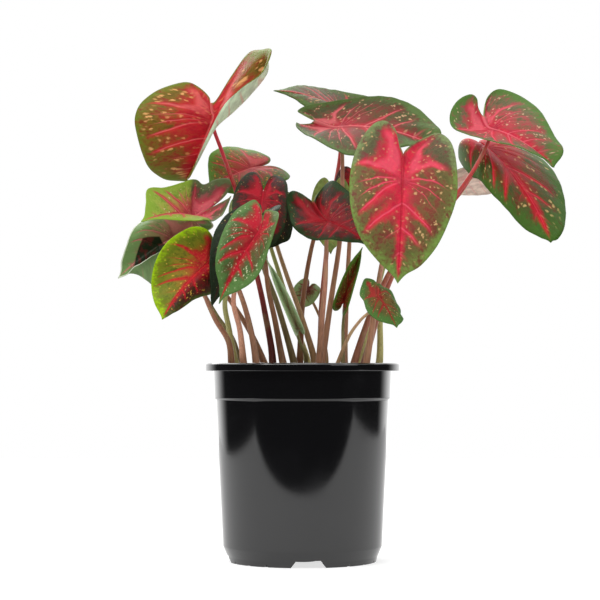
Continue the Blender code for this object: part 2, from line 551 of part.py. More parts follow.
def flat_point(leaf, station, edge):
    """A point of the flat blade as shares of its length, across and along."""
    station %= STATIONS
    side = 1 if station <= STATIONS / 2 else -1
    place = station if side > 0 else STATIONS - station
    low = min(int(place), len(BLADE_OUTLINE) - 2)
    share = place - low
    x = BLADE_OUTLINE[low][0] * (1 - share) + BLADE_OUTLINE[low + 1][0] * share
    y = BLADE_OUTLINE[low][1] * (1 - share) + BLADE_OUTLINE[low + 1][1] * share
    return side * x * edge, y * (leaf.lobes if y < 0 else 1) * edge


def move_at(moves, station):
    """The move at a station, smooth between the stations that have one. Rows are station, x, y and z."""
    if not moves:
        return Vector()
    station %= STATIONS
    after = next((index for index, row in enumerate(moves) if row[0] > station), 0)
    before, there = moves[after - 1], moves[after]
    share = ((station - before[0]) % STATIONS) / (((there[0] - before[0]) % STATIONS) or STATIONS)
    share = share * share * (3 - 2 * share)
    return (Vector(before[1:]) * (1 - share) + Vector(there[1:]) * share) * MM


def blade_sheet(leaf):
    """Points and triangles of a blade's middle surface: rings of points round the stalk's joint."""
    blade = Blade(leaf)
    rings = SMALL_BLADE_RINGS if leaf.small else BLADE_RINGS
    count = STATIONS // 2 if leaf.small else STATIONS
    points = [blade.point(0, 0)]
    for ring in rings:
        for step in range(count):
            points.append(blade.point(step * STATIONS / count, ring))
    faces = []
    for step in range(count):
        after = (step + 1) % count
        faces.append([0, 1 + step, 1 + after])
        for level in range(len(rings) - 1):
            near, far = 1 + level * count, 1 + (level + 1) * count
            faces.append([near + step, far + step, far + after])
            faces.append([near + step, far + after, near + after])
    return points, faces


def make_blade(leaf):
    points, faces = blade_sheet(leaf)
    blade = add_object(leaf.name + "_blade", points, faces, material(leaf.name + " blade", leaf.colour, 0.45))
    skin = blade.modifiers.new("thickness", "SOLIDIFY")
    skin.thickness = BLADE_THICKNESS
    skin.offset = 0
    skin.use_rim = True
    return blade


def nearest_tuber(x, y):
    return min(TUBER_SPOTS, key=lambda spot: math.hypot(x - spot[0], y - spot[1]))


def stalk_path(leaf):
    """Points of a stalk from its tuber to its blade: straight in the soil, then a smooth curve."""
    blade = Blade(leaf)
    above = [Vector(point) * MM for point in reversed(leaf.stalk)]
    leaving = above[0]
    spot = nearest_tuber(leaving.x, leaving.y)
    x = spot[0] + ROOT_INWARD * (leaving.x - spot[0])
    y = spot[1] + ROOT_INWARD * (leaving.y - spot[1])
    root = Vector((x, y, tuber_surface(spot, x, y) + 2 * GAP))
    tilt = math.radians(leaf.droop) / 2
    under = blade.face * math.cos(tilt) - blade.along * math.sin(tilt)
    end = blade.joint - under * (BLADE_THICKNESS / 2 + STALK_GAP)
    anchors = [root] + above + [end]
    path = [root]
    for index in range(1, len(anchors) - 1):
        before, here, there = anchors[index - 1], anchors[index], anchors[index + 1]
        if index + 2 < len(anchors):
            beyond = anchors[index + 2]
        else:
            beyond = there + (under + (there - here).normalized()) * END_REACH
        reach = (there - here).length
        leave = (there - before).normalized() * reach
        arrive = (beyond - here).normalized() * reach
        steps = STALK_STEPS if reach > LONG_REACH else 1
        for step in range(steps):
            t = step / steps
            path.append(here * (2 * t ** 3 - 3 * t ** 2 + 1) + leave * (t ** 3 - 2 * t ** 2 + t)
                        + there * (3 * t ** 2 - 2 * t ** 3) + arrive * (t ** 3 - t ** 2))
    path.append(end)
    return path, under


def tube(name, path, radii, last_normal=None, finish=None):
    """A closed tube along a path. Its last ring lies square to last_normal, so that it meets a blade flat."""
    points = []
    side = None
    for index, place in enumerate(path):
        before, there = path[max(index - 1, 0)], path[min(index + 1, len(path) - 1)]
        way = (there - before).normalized()
        if index == len(path) - 1 and last_normal is not None:
            way = last_normal
        if side is None:
            side = Vector((1, 0, 0))
        side = (side - side.dot(way) * way).normalized()
        other = way.cross(side)
        for step in range(STALK_SIDES):
            turn = 2 * math.pi * step / STALK_SIDES
            points.append(place + (side * math.cos(turn) + other * math.sin(turn)) * radii[index])
    faces = [list(range(STALK_SIDES)), list(range(len(points) - STALK_SIDES, len(points)))]
    for index in range(len(path) - 1):
        low = index * STALK_SIDES
        for step in range(STALK_SIDES):
            after = (step + 1) % STALK_SIDES
            faces.append([low + step, low + after, low + STALK_SIDES + after, low + STALK_SIDES + step])
    return add_object(name, points, faces, finish)


def stalk_radii(leaf, path):
    base, top = leaf.thick
    lengths = [0]
    for here, there in zip(path, path[1:]):
        lengths.append(lengths[-1] + (there - here).length)
    return [(base + (top - base) * (length / lengths[-1]) ** STALK_TAPER) * MM for length in lengths]


def make_stalk(leaf):
    path, under = stalk_path(leaf)
    finish = material(leaf.name + " stalk", (0.42, 0.2, 0.12), 0.5)
    return tube(leaf.name + "_stalk", path, stalk_radii(leaf, path), under, finish)


def stalk_hole(leaf):
    """The hole that a stalk stands in: the stalk's own lower length, a gap wider, into its tuber's hollow."""
    path, _ = stalk_path(leaf)
    clear = GAP / math.cos(math.pi / STALK_SIDES)
    radii = [radius + clear for radius in stalk_radii(leaf, path)[:HOLE_RINGS]]
    lower = path[:HOLE_RINGS]
    lower[0] = lower[0] + (lower[0] - lower[1]).normalized() * HOLE_DEEPER
    return tube("stalk hole", lower, radii)


def main():
    clear_scene()
    make_pot()
    skin = material("tuber", (0.16, 0.09, 0.05), 0.85)
    hollows = []
    for index, spot in enumerate(TUBER_SPOTS, 1):
        tuber_mesh(f"tuber_{index}", spot, 0, skin)
        hollows.append(tuber_mesh("tuber hollow", spot, GAP))
    for leaf in LEAVES:
        make_blade(leaf)
        make_stalk(leaf)
    make_soil(hollows + [stalk_hole(leaf) for leaf in LEAVES])


main()
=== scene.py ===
import math
import random
from dataclasses import dataclass

import bpy
import bmesh
from mathutils import Matrix, Vector, noise


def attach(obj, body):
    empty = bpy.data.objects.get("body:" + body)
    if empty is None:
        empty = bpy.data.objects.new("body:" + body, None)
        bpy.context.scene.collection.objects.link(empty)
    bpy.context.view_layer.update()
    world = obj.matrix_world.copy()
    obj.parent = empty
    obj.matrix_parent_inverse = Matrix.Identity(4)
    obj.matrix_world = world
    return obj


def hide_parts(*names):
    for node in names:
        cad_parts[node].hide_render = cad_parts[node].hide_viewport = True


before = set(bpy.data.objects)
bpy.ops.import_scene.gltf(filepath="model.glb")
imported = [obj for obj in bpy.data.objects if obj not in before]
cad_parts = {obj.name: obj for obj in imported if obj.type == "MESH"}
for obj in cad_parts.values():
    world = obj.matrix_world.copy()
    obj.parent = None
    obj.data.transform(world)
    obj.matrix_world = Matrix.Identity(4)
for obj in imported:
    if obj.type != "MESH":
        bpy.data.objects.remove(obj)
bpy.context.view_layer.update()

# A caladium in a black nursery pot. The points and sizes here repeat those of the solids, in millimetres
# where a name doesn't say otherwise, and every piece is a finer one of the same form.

MM = 0.001

# Pot, measured on its outer side
RIM_RADIUS = 82.5 * MM
RIM_TOP = 166.5 * MM
RIM_SKIRT = 6.5 * MM
WALL = 1.2 * MM
COLLAR_TOP_RADIUS = 75.3 * MM
COLLAR_LOW_RADIUS = 74.4 * MM
COLLAR_LOW = 136.5 * MM
BODY_TOP_RADIUS = 73.0 * MM
BODY_LOW_RADIUS = 66.8 * MM
BODY_LOW = 13.0 * MM
FOOT_RADIUS = 62.8 * MM
FOOT_WIDTH = 11.0 * MM
FOOT_LIP = 4.5 * MM
HEEL_HEIGHT = 5.2 * MM
HEEL_INSET = 0.6 * MM
FLOOR_HEIGHT = 6.0 * MM
FLOOR_SLOPE = 2.0 * MM
CENTRE_FOOT_RADIUS = 12.0 * MM
SLANT = 0.4 * MM

# How finely the pot is made: steps round it, rounding of its corners, strips that keep its long sides flat
POT_SEGMENTS = 200
CORNER_ROUNDING = 0.5 * MM
SUPPORT = 0.7 * MM
SHARP_ANGLE = 32

# Openings in the foot of the pot. The lower widths are at the end of the cut, just below the foot.
NOTCH_TOP_WIDTH = 20 * MM
NOTCH_LOW_WIDTH = 30.4 * MM
NOTCH_TURNS = (0, 90, 180, 270)
FOOT_TURN = 4.5
NICK_TURNS = (33, 50, 67)
NICK_WIDTH = 5.6 * MM
NICK_HEIGHT = 2.5 * MM
CUT_PAST = 6 * MM
CUT_BELOW = 1 * MM
DRAIN_RADIUS = 4.5 * MM
DRAIN_CIRCLE = 36 * MM
DRAIN_COUNT = 6
DRAIN_SIDES = 32
DRAIN_CUT = (-2 * MM, 4 * MM)

# Soil, tubers and what lies on the soil: its name, how many, their least and greatest size, random seed
SOIL_EDGE = 158.5 * MM
SOIL_CROWN = 2.5 * MM
SOIL_LUMP = 1.1 * MM
SOIL_CLEAR = 0.3 * MM
SOIL_LIFT = 0.4 * MM
SOIL_RINGS = 60
SOIL_SEGMENTS = 180
TUBER_RADIUS = 21 * MM
TUBER_HEIGHT = 26 * MM
TUBER_TOP = 130 * MM
TUBER_SPOTS = ((-42 * MM, -10 * MM), (-12 * MM, 22 * MM), (4 * MM, -26 * MM), (40 * MM, 4 * MM))
BARK_CHIPS = ("bark_chips", 420, (0.8, 2.6), 3)
PERLITE_BEADS = ("perlite_beads", 90, (0.6, 1.5), 5)

# Blades
BLADE_THICKNESS = 0.7 * MM
BLADE_TURNS = 120
BLADE_RINGS = 30
RING_CROWDING = 0.85
WAVE_HEIGHT = 1.2 * MM
WAVES = 5
QUILT = 0.5 * MM
QUILT_LENGTH = 70 * MM
FOLD_ROUNDING = 0.03

# Stalks: their usual width at the soil and at the blade, the sheath at the soil and the flare at the blade
STALK_SIDES = 14
STALK_STEPS = 8
STALK_WIDTHS = (3.0, 1.5)
STALK_TAPER = 0.8
ROOT_INWARD = 0.45
END_REACH = 20 * MM
SHEATH = 1.0 * MM
SHEATH_HEIGHT = 16 * MM
FLARE = 0.5 * MM
FLARE_HEIGHT = 3 * MM
FLUTES = 3
FLUTE_DEPTH = 0.04
FLUTE_TWIST = 0.1

# Half of a flat blade, from its tip round a lobe to the cleft. The stalk is at 0, 0 and the tip at 0, 1.
BLADE_OUTLINE = (
    (0.00, 1.00), (0.07, 0.89), (0.20, 0.78), (0.37, 0.61), (0.48, 0.39), (0.54, 0.13), (0.53, -0.12),
    (0.46, -0.34), (0.33, -0.51), (0.20, -0.56), (0.10, -0.48), (0.04, -0.32), (0.00, -0.17),
)
HALF_WIDTH = 0.54
LOBE_LENGTH = 0.56
STATIONS = 24
CREST_EDGE = 0.65

# Side veins: how far apart they leave the midrib, how they slant and bend to the tip, the fan behind them
VEIN_SPACING = 0.24
VEIN_SLANT = 0.62
VEIN_BEND = 0.75
VEIN_FAN = 0.4
VEIN_WANDER = 0.07

# A blade's surface: its gloss, how fine its patterns are over its length, and how deep they are
LEAF_IOR = 1.4
UPPER_GLOSS = 0.22
UNDER_GLOSS = 0.35
COARSE = 8.0
FINE = 30.0
UPPER_NET = 26.0
UNDER_NET = 24.0
RELIEF = 0.8 * MM

# Camera and studio, in metres, degrees and watts, but millimetres for the lens and its sensor. Each light
# has its name, place, size and power.
CAMERA_PLACE = (-0.0021, -1.64, 0.164)
CAMERA_TILT = 91.95
CAMERA_LENS = 116.3
SENSOR_WIDTH = 36
LIGHTS = (
    ("key", (-0.8, -1.1, 1.7), 1.1, 22),
    ("fill", (1.4, -1.2, 0.9), 1.2, 6),
    ("back", (-0.5, 1.3, 1.3), 1.2, 12),
)
LIGHT_AIM = (0, 0, 0.2)
FLOOR_CORNERS = ((-0.9, -0.43, 0), (1.15, -0.43, 0), (1.15, 1.8, 0), (-0.9, 1.8, 0))
FLOOR_GLOW = 0.7

# The sky's brightness for soft light, and for gloss: dark in front, and bright behind and above
DIFFUSE_SKY = 0.5
DARK_SKY = 0.04
BACK_SKY = (0.48, 0.85, 1.8)
TOP_SKY = (0.4, 0.7, 2.6)


@dataclass
class Leaf:
    """A leaf: places in millimetres, angles in degrees. Left and right are as on its upper side, tip down.

    stalk runs from the blade down to the soil. fold is the angle at which each half leaves the midrib and
    curl is how far it then turns. moves and crests shift the margin and the blade within it, at stations that
    are counted round the margin from the tip."""

    name: str
    joint: tuple
    tip: tuple
    face: tuple
    stalk: tuple
    width: float = 1.0
    lobes: float = 1.0
    fold: tuple = (12, 12)
    curl: tuple = (-25, -25)
    droop: float = 35
    nod: float = 25
    moves: tuple = ()
    crests: tuple = ()
    thick: tuple = STALK_WIDTHS


LEAVES = (
    Leaf("leaf_01", (-76, -20, 368), (-96, 0, 323), (0.1, -1.0, -0.1),
         ((-68, -16, 345), (-55, -2, 308), (-41, -8, 251), (-32, -18, 211), (-25, -22, 161)), width=1.8,
         lobes=0.9, fold=(5, 75), curl=(-25, 20), droop=70, nod=45,
         moves=((0, -3, 6, -2), (1, -4, 8, 2), (2, -3, 8, 8), (3, 0, 12, 22), (4, 11, 10, 42),
             (5, 15, 8, 29), (6, 23, 0, 14), (7, 26, -10, 15), (8, 21, -12, 17), (9, 14, 0, 25),
             (10, 5, 0, 15), (11, -3, 0, 4), (12, -4, 0, 9), (13, -4, 0, 9), (14, -9, 0, 9),
             (15, -10, 0, 6), (16, -12, 0, 0), (17, -10, 0, -3), (18, -11, 0, -6), (19, -11, 0, -9),
             (20, -10, 4, -9), (21, -10, 8, -13), (22, -16, 8, -9), (23, -15, 8, -7)),
         crests=((0, 0, 0, 0), (3, 0, 0, 0), (4, -1, 0, -4), (5, 6, 0, -1), (6, 10, 5, 4), (7, 17, 5, 9),
             (8, 5, 0, 6), (9, 0, 0, 0))),
    Leaf("leaf_02", (-93, -35, 289), (-131, -72, 283), (0.3, -0.75, 0.55),
         ((-80, -20, 273), (-59, -18, 240), (-46, -30, 206), (-38, -34, 161)), width=1.1, lobes=1.5,
         fold=(10, 45), curl=(-20, -20), nod=-20,
         moves=((0, 0, 0, -2), (4, 0, 0, 1), (5, -8, 0, 3), (6, -12, 0, 3), (7, -13, 0, 6),
             (8, -12, 0, 8), (9, -4, 0, 19), (10, 1, 0, 16), (11, 0, 0, 9), (12, 1, 0, 5), (13, 3, 0, 8),
             (14, 8, 0, 16), (15, 8, 0, 21), (16, 3, 0, 16), (17, 6, 0, 7), (18, 14, -4, 8),
             (19, 14, 0, 3), (20, 5, 0, -1), (21, -3, 0, 3), (22, -1, 0, 1))),
    Leaf("leaf_03", (-45, 25, 334), (-84, 10, 308), (-0.2, -0.9, 0.7),
         ((-40, 5, 293), (-34, -8, 252), (-21, -7, 215), (-6, -4, 161)), width=1.15, lobes=1.25,
         moves=((0, 2, 5, 6), (4, 0, 0, 0), (15, -4, 0, -1), (16, -8, 0, 0), (17, -6, 0, 0),
             (18, -2, 0, 3), (19, -1, 0, 5), (20, -2, 0, 5), (21, 1, 5, 6), (22, 2, 8, 8))),
    Leaf("leaf_04", (-34, -20, 302), (-38, -30, 249), (0.0, -1.0, 0.3),
         ((-32, -12, 269), (-29, -24, 231), (-23, -26, 202), (-15, -28, 161)), width=0.84, lobes=1.03,
         moves=((0, 0, 0, 0), (4, -1, 0, 0), (5, -3, 0, 0), (6, -3, 0, 0), (8, 0, 0, 0))),
    Leaf("leaf_05", (-37, -95, 268), (-66, -105, 213), (-0.3, -1.0, 0.2),
         ((-46, -80, 248), (-56, -70, 219), (-51, -62, 193), (-48, -50, 161)), fold=(25, 38),
         curl=(-15, 10), lobes=0.9, width=0.95,
         moves=((1, 0, 0, 0), (2, 5, 0, 0), (3, 6, 0, -2), (4, 3, 0, -5), (5, -2, 0, -4), (6, -6, 0, 0),
             (7, -11, 0, -2), (8, -14, 0, -2), (9, -15, 0, 0), (10, -12, 0, 2), (11, -6, 0, 2),
             (12, -1, 0, 4), (13, -3, 0, 5), (14, -8, 0, 6), (15, -10, 0, 2), (16, -9, 0, -5),
             (17, -5, 0, -9), (18, 0, 0, -11), (19, 5, 0, -9), (20, 7, 0, -7), (21, 7, 0, -4),
             (22, 5, 0, -2), (23, 1, 0, 0))),
    Leaf("leaf_06", (-81, -75, 243), (-112, -95, 201), (-0.4, -1.0, 0.3),
         ((-81, -58, 226), (-72, -48, 203), (-61, -42, 184), (-58, -38, 161)), lobes=1.15, nod=10,
         fold=(15, 15),
         moves=((0, 0, 0, 0), (1, 1, 0, -1), (2, 0, 8, 1), (3, -2, 22, 6), (4, -2, 40, 4),
             (5, -5, 48, -2), (6, -5, 46, 0), (7, -5, 40, 0), (8, -3, 32, 0), (9, 0, 24, 0),
             (11, 0, 8, 0), (12, 0, 0, 0), (13, 0, -2, 2), (14, -5, -6, 4), (15, -9, -22, 7),
             (16, -11, -28, 7), (17, -9, -28, 6), (18, -9, -25, 4), (19, -8, -18, -3), (20, -5, -8, -6),
             (21, -3, 0, -4), (22, -3, 0, -3), (23, -2, 0, -2))),
    Leaf("leaf_07", (-109, -25, 270), (-152, -45, 236), (-0.1, -0.8, 0.6),
         ((-98, -12, 251), (-73, -10, 207), (-59, -10, 186), (-53, -8, 161)), fold=(40, -20),
         curl=(-10, 160),
         moves=((0, 0, 0, 0), (1, 0, 0, 0), (2, -2, 0, 5), (3, -1, 0, 2), (4, 0, 0, -5), (5, 0, 0, -12),
             (6, 0, 0, -14), (7, -8, 0, -8), (8, -11, 0, -4), (9, -10, 0, -3), (12, 0, 0, 0),
             (13, 9, 0, -2), (14, 15, 0, -1), (15, 12, 0, -3), (16, 8, 0, -5), (17, -8, 0, -13),
             (18, -14, 0, -14), (19, -8, 0, -14), (20, 0, 0, -10), (21, 4, 0, -6), (22, 1, 0, -4),
             (23, 0, 0, 0)),
         crests=((0, 0, 0, 0), (1, 0, 0, -9), (2, 0, 0, -18), (3, 0, -3, -27), (4, -2, -4, -29),
             (5, -4, -4, -29), (6, -4, -2, -20), (8, 0, 0, 0))),
    Leaf("leaf_08", (-46, -62, 272), (-70, -78, 213), (-0.5, -1.0, 0.2),
         ((-55, -58, 250), (-64, -42, 218), (-61, -29, 194), (-55, -22, 161)), width=0.75, fold=(10, 40),
         moves=((0, -3, 0, -1), (1, 0, 5, 0), (2, 0, 15, 0), (3, 0, 24, 0), (4, 0, 26, 0), (5, 0, 26, 0),
             (6, 0, 22, 0), (7, 0, 12, 0), (9, 0, 0, 0), (16, 0, -8, 0), (17, -5, -12, -1),
             (18, -4, -16, -2), (20, 3, -16, -2), (21, 4, -14, -2), (22, 1, -10, -4), (23, -3, -4, -3))),
    Leaf("leaf_09", (-29, 16, 294), (-27, 12, 253), (0.2, -1.0, 0.1),
         ((-23, 20, 271), (-12, 6, 237), (0, -3, 203), (11, -2, 161)), width=0.9,
         moves=((0, -2, 0, 11), (1, 0, 0, 8), (2, 1, 0, 6), (3, 2, 0, 2), (4, 1, 0, 0), (22, 0, 0, 4),
             (23, 0, 0, 8))),
    Leaf("leaf_10", (22, -45, 283), (63, -70, 261), (-0.1, -0.95, 0.4),
         ((20, -38, 268), (19, -38, 235), (16, -35, 202), (13, -30, 161)), lobes=1.3, nod=-10,
         fold=(35, 5),
         moves=((0, -8, 0, 0), (1, -6, 0, 0), (3, -6, 0, -1), (4, -5, 0, 2), (5, -2, 0, 2), (6, 2, 0, 6),
             (7, 7, 0, 11), (8, 14, 0, 12), (9, 16, 0, 11), (10, 11, 0, 10), (11, 3, 0, 11),
             (12, -4, 0, 13), (13, 0, 0, 15), (14, 4, 0, 17), (15, 4, 0, 19), (16, 2, 10, 17),
             (17, 0, 15, 13), (18, -5, 15, 9), (19, -8, 20, 6), (20, -11, 20, 3), (21, -12, 15, 5),
             (22, -12, 10, 3), (23, -9, 5, 2))),
    Leaf("leaf_11", (25, 15, 301), (24, 5, 259), (0.0, 1.0, 0.1),
         ((15, 8, 287), (7, 6, 261), (0, 8, 216), (-3, 12, 161)), width=0.75),
    Leaf("leaf_12", (49, 40, 320), (52, 30, 278), (0.0, -1.0, 0.3),
         ((42, 45, 295), (41, 44, 273), (38, 36, 221), (36, 28, 161)), width=0.9),
    Leaf("leaf_13", (80, -95, 312), (75, -112, 229), (0.0, -1.0, 0.2),
         ((76, -66, 286), (66, -38, 250), (60, -28, 210), (52, -26, 161)), lobes=1.12, nod=10,
         moves=((0, 0, 0, 0), (1, 0, 0, -2), (2, 0, 0, -4), (3, -3, 0, -3), (4, -4, 0, -2),
             (5, -3, 0, -2), (6, -2, 0, -1), (7, 1, 0, 0), (8, 7, 0, -3), (9, 10, 0, -3), (10, 8, 0, -2),
             (11, 2, 0, 3), (12, 0, 0, 8), (13, 0, 0, 5), (14, 1, 0, 5), (15, 1, 0, 4), (16, 2, 0, 3),
             (17, 3, 0, 1), (18, 4, 0, 1), (19, 4, 0, 0), (20, 2, 0, 0), (21, 1, 0, -1), (22, 0, 0, -2),
             (23, 0, 0, -2))),
    Leaf("leaf_14", (37, 80, 386), (-25, 30, 404), (0.05, -0.6, 1.0),
         ((33, 75, 347), (26, 65, 306), (17, 45, 221), (13, 30, 161)), lobes=1.2, nod=-60, fold=(15, 40),
         moves=((0, 0, 0, -2), (1, -3, 3, -6), (2, -7, 6, -11), (3, -13, 6, -17), (4, -13, 6, -15),
             (5, -9, 4, -10), (7, 0, 0, 0), (13, 0, 0, 0), (14, 6, 0, 4), (15, 8, 0, 7), (16, 8, 0, 6),
             (17, 11, 0, 12), (18, 13, 0, 11), (19, 13, 0, 1), (20, 9, 0, -6), (21, 8, 0, -8),
             (22, 4, 0, -6), (23, 0, 0, -3))),
    Leaf("leaf_15", (32, 0, 367), (116, -30, 344), (0.1, -0.6, 0.9),
         ((34, 0, 335), (32, -6, 275), (24, -11, 220), (15, -14, 161)), lobes=0.9, nod=-20, width=0.9,
         moves=((0, 0, 0, 0), (1, 6, 0, 6), (2, 5, 0, 5), (3, 0, -4, 9), (4, -2, -14, 9), (5, 0, -22, 6),
             (6, 0, -24, 4), (7, 0, -22, 2), (8, 0, -16, 2), (9, 0, -6, 2), (11, -2, 0, 6),
             (12, -8, 0, 6), (13, 0, 0, 4), (14, 5, 0, 2), (15, 12, 0, 3), (16, 13, 0, 4), (17, 11, 0, 7),
             (18, 4, 0, 9), (19, 0, 0, -1), (20, -6, 0, -9), (22, 0, 0, 0))),
    Leaf("leaf_16", (159, -25, 362), (210, -50, 334), (-0.3, -0.8, 0.6),
         ((139, -20, 321), (104, -4, 279), (72, 0, 240), (42, 0, 161)), fold=(25, 10), curl=(-70, -20),
         nod=-30, lobes=1.1,
         moves=((0, -3, 0, -7), (1, 7, 0, -5), (2, 9, 0, -8), (3, 7, 0, -12), (4, 9, 0, -10),
             (5, 15, 0, -8), (6, 19, 0, -3), (7, 24, 0, 1), (8, 27, 0, 6), (9, 27, 0, 9), (10, 20, 0, 9),
             (11, 11, 0, 8), (12, 4, 0, 7), (13, 8, 0, 13), (14, 18, 0, 18), (15, 20, 0, 22),
             (16, 11, 0, 24), (17, -1, 0, 25), (18, -10, 0, 25), (19, -8, 0, 23), (20, -3, 0, 18),
             (21, 1, 0, 13), (22, 2, 0, 3), (23, 1, 0, -3))),
    Leaf("leaf_17", (158, 5, 349), (208, -20, 267), (0.6, -0.7, 0.5),
         ((137, 18, 315), (105, 18, 276), (78, 16, 244), (51, 12, 161)), fold=(28, 8), curl=(-20, -20),
         nod=90, lobes=0.8,
         moves=((0, 0, 0, 0), (1, 4, 0, -9), (2, 6, 0, -12), (3, 7, 0, -12), (4, 10, 0, -11),
             (5, 13, 0, -13), (6, 16, 0, -16), (7, 16, 0, -10), (8, 19, 0, -2), (9, 20, 0, 0),
             (10, 20, 0, -3), (11, 14, 0, -6), (12, 6, 0, -6), (13, 14, 4, -4), (14, 22, 8, 3),
             (15, 27, 12, 3), (16, 33, 15, -8), (17, 35, 20, -29), (18, 25, 32, -34), (19, 11, 32, -22),
             (20, -2, 26, -14), (21, -8, 18, -8), (22, -9, 10, -7), (23, -3, 3, -5))),
    Leaf("leaf_18", (144, 45, 325), (192, 70, 317), (0.1, 0.6, 0.9),
         ((120, 45, 295), (93, 45, 266), (70, 38, 230), (65, 22, 161)), width=0.8,
         moves=((0, 0, 0, 0), (14, 0, 0, 0), (16, 0, 10, 5), (17, 0, 10, 5), (19, 0, 4, 0))),
    Leaf("leaf_19", (4, 50, 230), (-5, 45, 212), (0.0, -1.0, 0.3),
         ((8, 50, 222), (16, 46, 204), (19, 42, 187), (20, 38, 161)), thick=(1.8, 1.1)),
    Leaf("leaf_20", (35, -20, 220), (50, -25, 263), (-0.1, -1.0, 0.1),
         ((35, -11, 209), (34, -9, 196), (34, -11, 182), (34, -14, 161)), width=0.5, lobes=0.4,
         fold=(55, 55), curl=(10, 10), thick=(1.8, 1.1)),
    Leaf("leaf_21", (63, -52, 220), (77, -59, 195), (0.2, -1.0, 0.3),
         ((59, -46, 212), (48, -45, 202), (38, -44, 188), (27, -40, 161)), width=1.1, thick=(1.8, 1.1),
         moves=((0, 0, 0, 0), (3, 0, 0, -8), (4, -2, 0, -12), (5, 0, 0, -14), (6, 1, 0, -14),
             (7, 2, 0, -7), (8, 2, 0, -4), (9, 3, 0, 0), (11, 2, 0, 1), (13, 4, 0, 7), (14, 5, 0, 8),
             (15, 3, 0, 8), (16, 3, 0, 5), (17, 2, 0, 2), (18, 4, 0, 2), (20, 0, 0, 0))),
    Leaf("leaf_22", (-5, -42, 197), (-30, -48, 253), (0.0, -1.0, 0.1),
         ((-4, -35, 190), (-1, -31, 181), (3, -25, 172), (2, -18, 161)), width=0.3, lobes=0.15,
         fold=(60, 60), curl=(10, 10), thick=(1.8, 1.1)),
    Leaf("leaf_23", (-36, 95, 308), (-48, 130, 270), (-0.2, 0.8, 0.5),
         ((-31, 80, 280), (-20, 70, 244), (-8, 60, 204), (5, 50, 161))),
    Leaf("leaf_24", (91, 80, 322), (107, 125, 283), (0.2, 0.8, 0.5),
         ((85, 70, 297), (73, 60, 257), (61, 52, 213), (48, 42, 161))),
    Leaf("leaf_25", (-99, 60, 266), (-116, 85, 236), (-0.3, 0.8, 0.5),
         ((-85, 52, 248), (-63, 45, 221), (-44, 40, 191), (-31, 34, 161))),
)


# A hollow in the folded leaf: its shade, the warmer streaks in it and the pale rim before it
HOLLOW_DARK = (24, 36, 14)
HOLLOW_WARM = (82, 30, 24)
HOLLOW_RIM = (206, 214, 190)


@dataclass
class Look:
    """The colours of a blade on a screen's scale of 0 to 255, and how far its markings reach.

    margin is the plain band round it, ground and patch are mottled inside that, red is the star that spreads
    from the joint, line its veins and spot its specks. star gives how wide the centre, the feathers along the
    side veins and the band along the midrib are, as shares of the length. glow is how much of the red tints
    the ground round it and speckle how many specks lie along it. keel is the midrib's line, where it isn't
    as the other veins' lines are. other is for a part of other colours: the way it lies on the flat blade,
    how far off it starts, its margin, ground and patch. hollow is for a part in deep shade: the sides that
    bound it on the flat blade, each with its way across, along and how far off it is."""

    margin: tuple
    ground: tuple
    patch: tuple
    red: tuple
    line: tuple
    spot: tuple = (214, 176, 120)
    under: tuple = (152, 176, 106)
    star: tuple = (0.16, 0.05, 0.07)
    band: float = 0.86
    spots: float = 0.5
    glow: float = 0.3
    speckle: float = 24
    keel: tuple = ()
    other: tuple = ()
    hollow: tuple = ()


